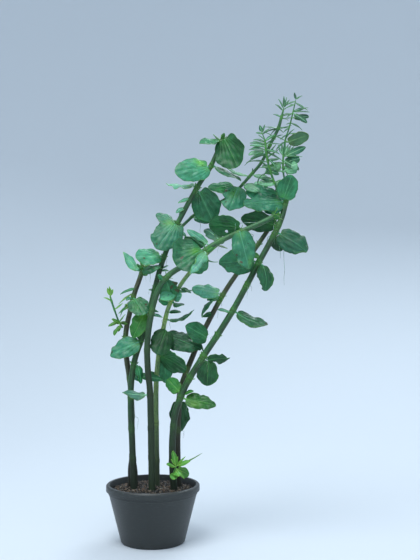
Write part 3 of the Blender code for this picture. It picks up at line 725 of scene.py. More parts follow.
@dataclass
class BladeForm:
    """The smooth form of a blade: an arc from base to tip, curled from margin to margin on a cylinder.

    Attributes:
        foot: where the stalk leaves the stem.
        start: where the blade begins.
        tip: its tip.
        upper: the way its upper face looks at the middle.
        bend: the angle through which it droops, in radians.
        curl: the radius of the cylinder that it curls on.
        half_width: gives half its width at shares of its length.
    """

    foot: Vector
    start: Vector
    tip: Vector
    upper: Vector
    bend: float
    curl: float
    half_width: Callable[[Array], Array]

    @classmethod
    def from_solid(cls, node: Piece) -> BladeForm:
        """Reads a leaf's form from the rings of its solid."""
        tip, rings, mesh = read_rings(node)
        foot = middle(c.co for c in rings[-1])
        start = middle(c.co for c in rings[-2])
        ways, halves, curls = [], [], []
        along = (tip - start).normalized()
        for ring in reversed(rings[:4]):
            corners = in_order(ring)
            i = max(range(4), key=lambda k: (corners[k] - corners[k + 4]).length)
            one, other = corners[i], corners[i + 4]
            above, below = corners[(i + 2) % 8], corners[(i + 6) % 8]
            up = (above - below).normalized()
            sag = (above + below - one - other) / 2
            up = up if up.dot(sag) > 0 else -up
            half, depth = (one - other).length / 2, max(sag.dot(up), 1e-7)
            ways.append(up)
            halves.append(half)
            curls.append((half * half + depth * depth) / (2 * depth))
        mesh.free()
        upper = ways[1] + ways[2]
        upper = (upper - upper.dot(along) * along).normalized()
        ups = [math.atan2(way.dot(along), way.dot(upper)) for way in ways]
        bend = (ups[3] - ups[0]) / (BLADE_STATIONS[3] - BLADE_STATIONS[0])
        curl = curls[max(range(4), key=lambda k: halves[k])]
        arcs = [curl * math.asin(min(1.0, half / curl)) for half in halves]
        stations = np.array(BLADE_STATIONS)
        fit = np.polyfit(stations, np.array(arcs) ** 2 / (stations * (1 - stations)), 3)

        def half_width(share: Array) -> Array:
            """Half the width, from a curve through the rings that is round at both ends."""
            return np.sqrt(np.clip(share * (1 - share) * np.polyval(fit, share), 0, None))

        return cls(foot, start, tip, upper, bend, curl, half_width)

    @classmethod
    def from_sizes(cls, foot: Vector, tip: Vector, upper: Vector, width: float, cup: float, droop: float,
                   outline: Outline = Outline.EGG, stalk: float = 0) -> BladeForm:
        """Makes the form of a small blade.

        Args:
            foot: where it leaves its twig.
            tip: its tip.
            upper: the way its upper face looks.
            width: its width in metres.
            cup: the angle through which it curls across, in degrees.
            droop: the angle through which it bends from base to tip, in degrees.
            outline: its outline.
            stalk: how long its stalk is, in metres.

        Returns:
            The form.
        """
        along = (tip - foot).normalized()
        flat = (upper - upper.dot(along) * along).normalized()
        curl = width / math.radians(max(cup, 1))
        start = foot + along * stalk
        return cls(foot, start, tip, flat, math.radians(droop), curl, outline.half_width(width))

    @property
    def reach(self) -> float:
        """The length of the blade along its arc, in metres."""
        bend = max(abs(self.bend), 0.01)
        return (self.tip - self.start).length * bend / 2 / math.sin(bend / 2)

    def surface(self, share: Array, across: Array) -> tuple[Array, Array]:
        """Finds points on the blade.

        Args:
            share: their shares of its length.
            across: their distances from its midrib, in metres.

        Returns:
            The points and the directions straight up from the blade there.
        """
        chord = np.array(self.tip - self.start)
        along, upper = chord / np.linalg.norm(chord), np.array(self.upper)
        side = np.cross(along, upper)
        bend = self.bend if abs(self.bend) > 0.01 else 0.01
        arc = np.linalg.norm(chord) / (2 * math.sin(bend / 2))
        angle = bend * (share - 0.5)
        turn, rise = np.cos(angle)[..., None], np.sin(angle)[..., None]
        centre = np.array(self.start) + arc * ((rise + math.sin(bend / 2)) * along
                                               + (turn - math.cos(bend / 2)) * upper)
        up = turn * upper + rise * along
        swing = (across / self.curl)[..., None]
        outward = np.sin(swing) * side + np.cos(swing) * up
        return centre + self.curl * (outward - up), outward


class Wear(Enum):
    """What a mark on a leaf is; the first three give its place in the blade_marks attribute."""

    # A glow mark is the young yellow-green near the stalk; a long thin glow strip along a margin is painted
    # rim light.
    GLOW = 0
    BURN = 1
    # A pale mark is pale tissue along the veins and in patches; a few are painted glints, and some are
    # painted light on leaves in shade.
    PALE = 2
    HOLE = 3
    BITE = 4

    def __call__(self, *sizes: float) -> Mark:
        """Makes a mark of this kind from its place and sizes."""
        return Mark(self, *sizes)


@dataclass(frozen=True)
class Mark:
    """A patch, a hole or a bite in a leaf; calling its kind of wear makes one.

    Attributes:
        wear: what it is.
        along: its place as a share of the blade's length.
        across: its place as a share of half the blade's width there; a bite only takes the side from it.
        length: its size along the blade in mm.
        width: its size across the blade in mm.
        strength: how strong it is at its middle.
    """

    wear: Wear
    along: float
    across: float
    length: float
    width: float
    strength: float = 1.0


@dataclass(frozen=True)
class Habit:
    """How one blade departs from the plain form of its solid.

    Attributes:
        tone: how much lighter or darker than its slot it is, from -1 to 1. It was matched to how light each
            leaf looks from the front, so it holds painted light and painted shade besides the leaf's own
            tone.
        twist: how far it turns round its midrib from base to tip, in degrees.
        fold: how far both margins stand above the midrib, in mm.
        rolls: how far the margin of its minus side and of its plus side rolls up, in mm.
        wave: how far its margins wave up and down, in mm.
        lobe: how far its base reaches back beside the stalk, as a share of its length.
        pleats: how many folds run along it.
        marks: its patches, holes and bites.
    """

    tone: float = 0
    twist: float = 0
    fold: float = 0
    rolls: tuple[float, float] = (0, 0)
    wave: float = 0.45
    lobe: float = 0.05
    pleats: int = 0
    marks: tuple[Mark, ...] = ()


@dataclass
class Blade:
    """One blade as a thin sheet with a sunk midrib, raised fields between the veins and an uneven margin.

    Attributes:
        name: the piece's name.
        form: its smooth form.
        seed: starts its random numbers.
        habit: how it departs from that form.
        cell: the size of its faces, in metres.
        thickness: how thick it is, in metres.
        cockle: how far its face swells and sinks, in metres.
        groove: how deep the midrib lies in it, in metres.
        puff: how far the fields between its side veins stand up, in metres.
        pleat: how high each of its pleats is, in metres.
    """

    name: str
    form: BladeForm
    seed: str
    habit: Habit = Habit()
    cell: float = 0.5 * MM
    thickness: float = 0.36 * MM
    cockle: float = 0.3 * MM
    groove: float = 0.35 * MM
    puff: float = 0.14 * MM
    pleat: float = 0.6 * MM

    def half_width(self, share: Array, out: Array) -> Array:
        """Half the blade's width with its uneven margins and bites, at shares of its length, on each side."""
        chance = random.Random(self.seed + " margin")
        half = self.form.half_width(share)
        for count, size in ((1.4, 0.05), (3.3, 0.028), (7.1, 0.012)):
            minus, plus = chance.uniform(0, math.tau), chance.uniform(0, math.tau)
            half = half * (1 + size * np.sin(math.tau * count * share + np.where(out < 0, minus, plus)))
        for mark in (m for m in self.habit.marks if m.wear is Wear.BITE):
            near = np.exp(-((share - mark.along) * self.form.reach / (mark.length / 2 * MM)) ** 4)
            half = half - np.where(out * mark.across > 0, mark.width * MM * near, 0)
        return np.maximum(half, 0)

    def bend_holes(self, share: Array, across: Array) -> Array:
        """Moves the corners that lie in a hole out to its ragged edge.

        Args:
            share: the corners' shares of the blade's length, changed in place.
            across: their distances from the midrib, changed in place.

        Returns:
            Which corners lay in a hole.
        """
        inside = np.zeros(share.shape, bool)
        for mark in (m for m in self.habit.marks if m.wear is Wear.HOLE):
            reach = self.form.reach
            side = mark.across * float(self.form.half_width(np.array(mark.along)))
            down, out = (share - mark.along) * reach, across - side
            angle = np.arctan2(down, out)
            ragged = 1 + 0.16 * np.sin(3 * angle + mark.along * 9) + 0.1 * np.sin(7 * angle + mark.across * 5)
            far = np.hypot(down / (mark.length / 2 * MM), out / (mark.width / 2 * MM)) / ragged
            hit = far < 1
            grow = 1 / np.maximum(far[hit], 0.05)
            share[hit] = np.clip(mark.along + down[hit] * grow / reach, 0, 1)
            across[hit] = side + out[hit] * grow
            inside |= hit
        return inside

    def patches(self, share: Array, across: Array, half: Array) -> Array:
        """The strengths of the glow and painted rim light, the burns, and the pale patches and painted
        highlights at each corner.
        """
        kept = np.zeros((3, *share.shape))
        base = Wear.GLOW(0, 0, 0.4 * self.form.reach / MM, 7, 0.55)
        for mark in (base, *(m for m in self.habit.marks if m.wear.value < 3)):
            down = (share - mark.along) * self.form.reach / (mark.length / 2 * MM)
            out = (across - mark.across * half) / (mark.width / 2 * MM)
            soft = np.exp(-(down ** 2 + out ** 2))
            kept[mark.wear.value] = np.maximum(kept[mark.wear.value], mark.strength * soft)
        return kept

    def relief(self, share: Array, across: Array, half: Array) -> Array:
        """How far each corner stands above the smooth form, in metres."""
        chance = random.Random(self.seed)
        habit, size_share = self.habit, min(1.0, float(half.max()) / (6 * MM))
        out = np.clip(across / np.maximum(half, 0.1 * MM), -1, 1)
        down = share * self.form.reach / MM
        swell = np.sin(np.pi * np.clip(share, 0, 1)) ** 0.5
        waves = np.zeros(share.shape)
        for length, size in ((13.0, 1.0), (7.0, 0.5), (4.2, 0.25)):
            phase, lean = chance.uniform(0, math.tau), chance.uniform(-0.6, 0.6)
            waves += size * np.sin(math.tau * down / length + phase + lean * 3 * out + (out > 0) * 1.7)
        height = habit.wave * MM * waves * out ** 2 * swell
        for length in (15.0, 9.0):
            one, other = chance.uniform(0, math.tau), chance.uniform(0, math.tau)
            cockle = np.sin(math.tau * down / length + one) * np.sin(math.tau * across / MM / length + other)
            height += self.cockle * size_share * cockle * swell
        height += math.radians(habit.twist) * (share - 0.5) * across
        height += habit.fold * MM * np.abs(out) ** 1.3 * swell
        minus, plus = habit.rolls
        height += MM * swell * (minus * np.clip(-out, 0, 1) ** 3 + plus * np.clip(out, 0, 1) ** 3)
        groove = np.exp(-(across / (0.6 * MM)) ** 2) * (1 - 0.6 * share)
        height -= self.groove * size_share * groove
        fan = np.abs(across) / MM / np.maximum(down + FAN_ROOT, 0.5) ** FAN_POWER / FAN_STEP
        field = np.cos(math.tau * fan) * np.minimum(np.abs(across) / (1.5 * MM), 1) * (1 - out ** 4)
        height -= self.puff * size_share * field
        if habit.pleats:
            folds = np.cos(math.tau * (habit.pleats / 2) * out) * np.sin(np.pi * np.clip(share, 0, 1))
            height += self.pleat * folds
        return height

    def make(self) -> Piece:
        """Models the blade.

        Returns:
            The closed thin blade, with its places and marks in attributes.
        """
        form, reach = self.form, self.form.reach
        rows = max(10, round(reach / self.cell))
        ends = (1 - np.cos(np.pi * np.linspace(0, 1, rows + 1))) / 2
        widest = float(form.half_width(np.linspace(0, 1, 41)).max())
        columns = max(6, 2 * round(widest / self.cell))
        station, out = np.meshgrid(ends, np.linspace(-1, 1, columns + 1), indexing="ij")
        half = self.half_width(station, out)
        across = out * half
        rim = half - np.abs(across)
        # The sides of a heart-shaped base reach back beside the stalk.
        share = station - self.habit.lobe * out ** 2 * station / LOBE_SHARE * np.exp(1 - station / LOBE_SHARE)
        cut = self.bend_holes(share, across)
        points, up = form.surface(share, across)
        points = points + up * self.relief(share, across, half)[..., None]
        rim = np.where(cut, 0.3 * MM, rim)
        sheet = add_sheet(self.name, points, {
            "blade_place": (across / MM, share * reach / MM, share),
            "blade_marks": self.patches(share, across, half),
            "blade_sides": (0, rim / MM, self.habit.tone),
        }, cut)
        single = len(sheet.data.vertices)
        thick = sheet.modifiers.new("thickness", "SOLIDIFY")
        thick.thickness = self.thickness
        thick.offset = 0
        bpy.ops.object.modifier_apply(modifier=thick.name)
        sides = sheet.data.attributes["blade_sides"].data
        for i in range(single, len(sides)):
            sides[i].vector[0] = 1.0
        bpy.ops.object.shade_smooth_by_angle(angle=math.radians(50))
        return sheet


@dataclass
class Stalk:
    """A leaf's stalk, which runs on under the blade as its raised midrib."""

    form: BladeForm
    root: Vector
    width: float = 1.3 * MM

    def make(self) -> Piece:
        """Models the stalk as a tube from inside the stem to near the blade's tip."""
        form = self.form
        shares = np.array([0.04, 0.14, 0.3, 0.5, 0.7, 0.86])
        sizes = np.array([0.42, 0.34, 0.28, 0.22, 0.16, 0.1]) * self.width
        spots, up = form.surface(shares, np.zeros_like(shares))
        spots = spots - up * (sizes * 0.75)[:, None]
        feet = np.array([self.root, form.foot, form.start])
        rows = np.vstack([np.column_stack([feet, np.array([0.62, 0.56, 0.48]) * self.width]),
                          np.column_stack([spots, sizes])])
        rows = closed(smooth_rows(rows, 0.7 * MM))
        reach = form.reach / MM

        def attributes(run: Array, angle: Array) -> dict[str, tuple]:
            """Marks the stalk as midrib."""
            return {"blade_place": (0, run / MM, run / MM / reach),
                    "blade_marks": (0.4 * np.exp(-run / (3 * MM)), 0, 0), "blade_sides": (0.5, 3, 0)}

        return add_tube("stalk", rows, 8, attributes)


GLOW, BURN, PALE, HOLE, BITE = Wear

# What the leaves show besides the form of their solids, by the short name of the leaf, the tone first.
HABITS: dict[str, Habit] = {
    "back_blue": Habit(0.1, fold=0.8, lobe=0.08, marks=(PALE(0.3, 0, 16, 1.6, 0.6),)),
    # back_edge: the thin glow strip along its margin is painted rim light.
    "back_edge": Habit(wave=0.7, rolls=(0.6, -0.6), marks=(GLOW(0.5, 1, 20, 2, 0.9),)),
    "back_low": Habit(-0.1, twist=14, wave=0.8, lobe=0.1),
    "back_round": Habit(0.6, rolls=(0.9, -0.5), lobe=0.1, marks=(PALE(0.35, 0.2, 12, 5, 0.25),)),
    # branch_half: the small strong pale mark near its margin is a painted glint.
    "branch_half": Habit(0.8, twist=-14, wave=0.8, marks=(PALE(0.31, 0.75, 2.6, 1.4, 1),
        GLOW(0.5, -0.4, 14, 7, 0.3))),
    "branch_spotted": Habit(0.15, twist=12, wave=0.8, marks=(HOLE(0.24, 0.66, 2, 1.5),
        BURN(0.3, 0.85, 3.4, 3, 0.8), BITE(0.62, 1, 4.5, 2.4), BITE(0.9, -1, 3.5, 1.6),
        GLOW(0.3, 0.2, 11, 7, 0.6), BURN(0.74, 0.6, 2, 1.6, 0.6))),
    "cross_curl": Habit(-0.5, fold=-0.8, wave=0.6, marks=(PALE(0.5, -0.7, 8, 2.5, 0.3),)),
    "cross_hanging": Habit(twist=26, wave=0.9, marks=(BURN(0.57, 0.8, 2.4, 1.8, 0.7),
        BURN(0.78, 0.7, 2.4, 2.2, 0.9), BITE(0.86, -1, 5, 1.6), GLOW(0.8, -0.5, 9, 5, 0.5),
        HOLE(0.4, -0.55, 1.5, 1.1))),
    "cross_large": Habit(-0.25, fold=1.2, rolls=(0, 3.6), wave=0.9, lobe=0.1, marks=(
        GLOW(0.2, 0.15, 9, 6, 1), BURN(0.7, 0.22, 3.6, 2.2, 0.85), BURN(0.8, 0, 2.2, 1.8, 0.7),
        PALE(0.45, -0.3, 10, 5, 0.3), BITE(0.84, -1, 4, 1.5))),
    "cross_low": Habit(-1, wave=0.7, marks=(BITE(0.3, 1, 3, 1.2), BURN(0.45, 0.4, 2, 1.5, 0.5))),
    "cross_narrow": Habit(0.5, twist=18, wave=0.7, marks=(BITE(0.6, 1, 4, 1),
        PALE(0.5, 0, 20, 5, 0.5))),
    "cross_shade": Habit(0.9, rolls=(1.6, -1), wave=0.7, lobe=0.1, marks=(HOLE(0.42, 0.5, 2.6, 2),
        PALE(0.62, -0.1, 2, 1.2, 0.6))),
    "cross_small": Habit(-1, twist=-12, marks=(BITE(0.7, -1, 3, 1),)),
    "fine_olive": Habit(fold=-0.5, marks=(BURN(0.75, 0.7, 3, 2.5, 0.45),)),
    "front_behind": Habit(rolls=(1.2, 0), lobe=0.08, wave=0.6),
    "front_bright": Habit(-0.7, twist=18, fold=0.8, wave=0.9, marks=(GLOW(0.3, 0.5, 10, 6, 0.9),
        BURN(0.55, -0.1, 1.8, 1.4, 0.6), BITE(0.8, -1, 4, 1.2))),
    "front_broad": Habit(-0.1, twist=-10, fold=0.9, wave=0.9, lobe=0.1, marks=(
        PALE(0.4, 0.3, 12, 6, 0.4), BITE(0.75, 1, 5, 1.8))),
    # front_curved: the thin glow strip along its margin is painted rim light.
    "front_curved": Habit(-0.5, rolls=(0.8, 0.8), wave=0.6, marks=(GLOW(0.5, -0.95, 22, 2.2, 0.9),
        BITE(0.6, 1, 4, 1.6), BITE(0.82, 1, 3, 1.2))),
    "front_left": Habit(0.5, rolls=(0, 1.8), fold=-0.6, lobe=0.1, wave=0.8, marks=(
        BURN(0.5, 0.05, 1.8, 1.4, 0.7), BURN(0.84, 0.6, 1.8, 1.5, 0.7), BURN(0.7, -0.3, 1.4, 1.2, 0.6),
        BITE(0.9, 1, 4, 2), PALE(0.6, 0.6, 9, 4, 0.3))),
    # front_long: the thin glow strip along its margin is painted rim light.
    "front_long": Habit(-0.9, fold=0.9, marks=(BURN(0.94, -0.2, 4, 3, 0.55),
        GLOW(0.5, 0.98, 26, 2, 0.9), PALE(0.5, 0, 24, 1.4, 0.5))),
    "front_notched": Habit(-0.35, twist=16, wave=0.8, marks=(BITE(0.3, -1, 3.6, 3.2),
        BITE(0.85, 1, 4, 2.2), GLOW(0.9, 0, 4, 4, 0.5))),
    "front_pleated": Habit(-0.9, pleats=5, fold=0.8, wave=0.9, lobe=0.1, marks=(BITE(0.9, 1, 4, 2),
        GLOW(0.9, 0.9, 8, 3, 0.6))),
    # front_round: the thin glow strip along its margin is painted rim light.
    "front_round": Habit(0.4, fold=-0.5, lobe=0.12, marks=(GLOW(0.7, 0.97, 18, 2, 0.7),
        PALE(0.3, -0.2, 6, 5, 0.3))),
    # front_small: the small strong pale mark is a painted glint.
    "front_small": Habit(-0.9, rolls=(0.8, 0.8), marks=(PALE(0.2, 0.3, 2.4, 1.2, 0.9),)),
    "front_top": Habit(0.9, rolls=(1.2, -0.6), lobe=0.1, wave=0.6),
    "left_dome": Habit(-0.1, fold=-0.8, wave=0.6, marks=(PALE(0.45, 0.2, 5, 1.2, 0.9),
        GLOW(0.3, -0.4, 8, 6, 0.7), BURN(0.8, 0.2, 3, 2.5, 0.5))),
    "left_pointed": Habit(0.8, twist=14, marks=(PALE(0.5, 0, 16, 4, 0.4),)),
    "left_round": Habit(-0.2, rolls=(-0.6, 1), lobe=0.12, marks=(BURN(0.48, -0.72, 2.6, 2.2, 1),
        HOLE(0.46, -0.74, 1.2, 1), PALE(0.35, -0.7, 4, 3, 0.4), GLOW(0.5, 0.2, 10, 8, 0.35))),
    "pale_crescent": Habit(wave=0.6, marks=(BURN(0.95, 0, 3, 3, 0.6),)),
    "pale_damaged": Habit(0.5, twist=-14, fold=1.4, wave=1, marks=(BURN(0.56, 0.35, 3.4, 3, 0.9),
        BURN(0.3, 0.75, 4, 3, 0.9), BURN(0.7, 0.8, 3.5, 3, 1), BITE(0.5, 1, 4, 2.6), BITE(0.85, 1, 3, 1.6),
        PALE(0.5, -0.35, 6, 6, 0.5), PALE(0.5, 0, 14, 1.2, 0.8))),
    "pale_dome": Habit(-0.4, fold=-0.8, wave=0.7, lobe=0.08, marks=(PALE(0.2, 0.4, 8, 3, 0.4),)),
    # pale_hanging lies in shadow: its full tone and its broad faint pale patch are painted light.
    "pale_hanging": Habit(1, twist=12, fold=-0.5, wave=0.6, marks=(PALE(0.5, 0, 20, 16, 0.25),)),
    "pale_shelf": Habit(-0.7, fold=-1, wave=0.9, rolls=(0, 1.2), marks=(HOLE(0.07, 0.15, 1.4, 1.2),
        PALE(0.7, 0.25, 9, 5, 0.55), BURN(0.8, 0.45, 2.4, 2, 0.6), BURN(0.62, -0.2, 1.8, 1.4, 0.6),
        BITE(0.9, 1, 4, 1.6))),
    "pale_tip": Habit(marks=(BURN(0.9, 0.3, 3.4, 3, 0.7),)),
    "pale_under": Habit(1, marks=(GLOW(0.4, 0, 6, 8, 0.4),)),
    "pale_wide": Habit(1, rolls=(1.5, 0), fold=-0.8, wave=0.8, lobe=0.1),
    "tall_behind": Habit(-0.2, twist=10, marks=(PALE(0.5, 0.5, 5, 4, 0.4),)),
    "tall_big": Habit(-0.2, fold=-0.4, wave=0.7, lobe=0.16, rolls=(0, 0.8), marks=(
        GLOW(0.06, 0.5, 8, 7, 0.9), PALE(0.24, 0.25, 8, 5, 0.55), BURN(0.16, 0.72, 1.4, 1.2, 0.7),
        BURN(0.86, 0.3, 2.6, 2, 0.65), BURN(0.9, 0.6, 1.8, 1.4, 0.7), BITE(0.93, 0.8, 2.6, 1.2))),
    "tall_bright": Habit(-0.1, fold=0.8, lobe=0.06, marks=(GLOW(0.1, 0, 10, 8, 0.9),
        PALE(0.5, -0.95, 18, 1.6, 0.5))),
    "tall_edge": Habit(twist=-16, wave=0.8, marks=(BURN(0.7, 0.3, 1.8, 1.2, 0.8), BITE(0.7, -1, 4, 2),
        PALE(0.6, 0, 18, 6, 0.4))),
    "tall_folded": Habit(-0.4, fold=1.4, wave=0.6, marks=(PALE(0.5, -0.6, 18, 3, 0.4),)),
    "tall_hanging": Habit(-0.1, rolls=(-3.4, 0.6), lobe=0.14, wave=0.6, marks=(
        PALE(0.45, 0, 22, 1.6, 0.6), PALE(0.75, -0.85, 12, 4, 0.45))),
    "tall_low": Habit(1, twist=12, rolls=(1.4, 0), lobe=0.1, wave=0.7, marks=(
        BURN(0.68, -0.25, 1.8, 1.6, 1), PALE(0.3, -0.1, 11, 3, 0.85), BURN(0.8, 0.6, 1.6, 1.4, 0.5))),
    "tall_ridge": Habit(0.1, fold=1.5, wave=0.6, marks=(PALE(0.4, 0, 20, 1.8, 0.9),
        BURN(0.88, 0.5, 2.2, 1.4, 0.7), BITE(0.94, 0.8, 3, 1.4))),
    "tall_round": Habit(0.6, twist=6, rolls=(0.8, -0.6), lobe=0.1, marks=(GLOW(0.17, 0.5, 8, 8, 1),
        PALE(0.5, -0.1, 16, 5, 0.2), PALE(0.45, 0.35, 14, 2.4, 0.2))),
    "tall_side": Habit(0.8, twist=20, wave=0.8, marks=(BITE(0.6, 1, 3, 1.2),)),
    "tall_top_left": Habit(rolls=(0.8, 0.8), wave=0.6),
    "tall_top_right": Habit(0.3, fold=-0.6, lobe=0.12, wave=0.6),
}


@dataclass
class Leaf:
    """A leaf that grows from a stem: its blade with its stalk."""

    node: Piece
    form: BladeForm
    slot: str
    root: Vector

    def build(self) -> Piece:
        """Models the leaf, dresses it and puts it in its solid's place.

        Returns:
            The finished leaf.
        """
        short = self.node.name.removeprefix("leaf_")
        blade = Blade("blade", self.form, short, HABITS[short]).make()
        leaf = joined(short + "_leaf", [blade, Stalk(self.form, self.root).make()])
        finish_piece(leaf, LEAF_FINISHES[self.slot].material(), self.slot, self.node.name)
        return leaf


class StemPath:
    """A stem's smooth centre line with its radius, read from the rings of its solid or from its route."""

    def __init__(self, name: str, rows: Array) -> None:
        """Keeps the route at an even step.

        Args:
            name: the stem's name.
            rows: its route as rows of x, y, z and radius, from the foot up.
        """
        self.name = name
        self.rows = smooth_rows(rows, 0.8 * MM)
        self.run = distances(self.rows)

    @classmethod
    def from_solid(cls, node: Piece) -> StemPath:
        """Reads a stem's route from its solid."""
        _, rings, mesh = read_rings(node)
        foot = sorted(mesh.verts, key=lambda corner: corner.co.z)[:8]
        rows = []
        for ring in [foot, *reversed(rings)]:
            centre = middle(c.co for c in ring)
            if not rows or centre.z > rows[0][2] + 1 * MM:
                rows.append([*centre, sum((c.co - centre).length for c in ring) / len(ring)])
        mesh.free()
        return cls(node.name, np.array(rows))

    def gap(self, point: Vector) -> tuple[float, int]:
        """How far a point is from the stem's skin, and the number of the row nearest to it."""
        away = np.linalg.norm(self.rows[:, :3] - np.array(point), axis=1) - self.rows[:, 3]
        nearest = int(away.argmin())
        return float(away[nearest]), nearest

    def at_run(self, run: float) -> int:
        """The number of the row at a distance along the stem, in metres."""
        return int(np.abs(self.run - run).argmin())

    def at_height(self, up: float) -> int:
        """The number of the row that the front view shows at a height, in mm."""
        return int(np.abs(seen_up(self.rows) - up * MM).argmin())


@dataclass
class Stem:
    """A stem with swollen nodes, leaf scars and fine ribs along it.

    Attributes:
        node: the stem's solid.
        path: its centre line and radius.
        knots: how far up the stem its nodes are, in metres.
        slot: the record's slot.
        skin: the name of its finish.
        dark_below: the height below which it begins to darken, in metres.
        darkening: how much further down it is darkest, in metres.
    """

    node: Piece
    path: StemPath
    knots: list[float]
    slot: str
    skin: str
    dark_below: float
    darkening: float = 95 * MM

    def build(self) -> Piece:
        """Models the stem, dresses it and puts it in its solid's place."""
        knots = np.array(self.knots)
        chance = random.Random(self.node.name)
        phase = chance.uniform(0, math.tau)
        sizes = np.array([chance.uniform(0.6, 1.2) for _ in knots])

        def closeness(run: Array, reach: float) -> Array:
            """How near each place is to a node, from 0 to about 1; some nodes are stronger than others."""
            away = np.abs(run[..., None] - knots)
            return (np.exp(-(away / reach) ** 2) * sizes).max(axis=-1)

        def relief(run: Array, angle: Array) -> Array:
            """Swells the nodes, rings them with a scar and ribs the skin."""
            ribs = 0.014 * np.cos(6 * angle + phase) + 0.01 * np.cos(11 * angle + run / (9 * MM))
            sway = 0.035 * np.sin(run / (6.1 * MM) + phase) * np.sin(run / (11.3 * MM) + angle)
            return 0.98 + ribs + sway + 0.13 * closeness(run, 1.7 * MM) - 0.07 * closeness(run, 0.35 * MM)

        def attributes(run: Array, angle: Array) -> dict[str, tuple]:
            """The straightened space of the stem, its nodes, scars and darkening towards the bottom."""
            height = np.interp(run, self.path.run, self.path.rows[:, 2])
            low = np.clip((self.dark_below - height) / self.darkening, 0, 1) ** 1.2
            radius = np.interp(run, self.path.run, self.path.rows[:, 3]) / MM
            return {"stem_space": (radius * np.cos(angle), radius * np.sin(angle), run / MM),
                    "stem_nature": (closeness(run, 3.2 * MM), 0.45 * closeness(run, 0.35 * MM), low)}

        rows = self.path.rows
        way = rows[-1, :3] - rows[-3, :3]
        way /= np.linalg.norm(way)
        cap = [[*(rows[-1, :3] + way * rows[-1, 3] * 0.7 * math.sin(a)), rows[-1, 3] * math.cos(a)]
               for a in np.linspace(0, math.pi / 2, 5)[1:]]
        cap[-1][3] = 0.0
        rows = np.vstack([[*rows[0, :3], 0], rows, cap])
        stem = add_tube(self.node.name + "_skin", rows, 20, attributes, relief)
        finish_piece(stem, STEM_FINISHES[self.skin].material(), self.slot, self.node.name)
        return stem


@dataclass(frozen=True)
class Leaflet:
    """A small leaf of a shoot: where it grows on its twig, its tip and its width, in mm.

    Attributes:
        at: the height on the twig that it grows from.
        tip: its tip as (across, up, deep).
        width: its width.
        droop: the angle through which it bends from base to tip, in degrees.
        tone: how much lighter or darker than its tissue it is, from -1 to 1; on broad leaves in shade it is
            painted light.
        pale: how far it is painted paler, from 0 to 1: pale tissue on most small leaves, and painted light on
            broad leaves in shade.
        upper: the way its upper face looks.
        cup: the angle through which it curls across, in degrees.
    """

    at: float
    tip: tuple[float, float, float]
    width: float
    droop: float = 25
    tone: float = 0
    pale: float = 0
    upper: tuple[float, float, float] = (0, -0.6, 0.8)
    cup: float = 30

    def make(self, path: StemPath, tip: Vector, seed: str) -> list[Piece]:
        """Models the small leaf, with a short stalk if it is broad enough to have one.

        Args:
            path: the centre line of what it grows on.
            tip: its tip in metres.
            seed: starts its random numbers.

        Returns:
            Its blade and, on a broad one, its stalk.
        """
        chance = random.Random(seed + " habit")
        row = path.rows[path.at_height(self.at)]
        centre = Vector(row[:3])
        foot = centre + (tip - centre).normalized() * row[3] * 0.5
        broad = self.width >= 3.5
        stalk = (tip - foot).length * 0.13 if broad else 0
        outline = Outline.ROUND if self.width > 7 else Outline.EGG if broad else Outline.POINTED
        form = BladeForm.from_sizes(foot, tip, Vector(self.upper), self.width * MM, self.cup, self.droop,
                                    outline, stalk)
        habit = Habit(twist=chance.uniform(-14, 14), wave=0.06 * self.width, lobe=0.06 if broad else 0,
                      tone=self.tone + chance.uniform(-0.15, 0.15),
                      marks=(PALE(0.5, 0, 60, 60, self.pale),) if self.pale else ())
        pieces = [Blade("small", form, seed, habit, cell=0.45 * MM, thickness=0.3 * MM).make()]
        if broad:
            pieces.append(Stalk(form, centre, 0.12 * self.width * MM + 0.3 * MM).make())
        return pieces


def leaflets(*rows: tuple) -> tuple[Leaflet, ...]:
    """Small leaves from rows of their values, in the order that Leaflet gives."""
    return tuple(Leaflet(*row) for row in rows)


@dataclass(frozen=True)
class Twig:
    """A thin twig, in mm.

    Attributes:
        foot: the radius of its solid at its foot.
        tip: the radius of its solid at its tip.
        route: its route as (across, up, deep).
        leaflets: its small leaves, of which the first ones are in its solid too.
        slim: how thick it is as a share of its solid.
        taper: the length over which it thins out to its tip.
    """

    foot: float
    tip: float
    route: tuple[tuple[float, float, float], ...]
    leaflets: tuple[Leaflet, ...]
    slim: float = 0.88
    taper: float = 12

    def path(self, name: str) -> StemPath:
        """The twig's centre line."""
        sizes = np.linspace(self.foot, self.tip, len(self.route)) * MM
        return StemPath(name, np.array([[*place(*spot), size] for spot, size in zip(self.route, sizes)]))


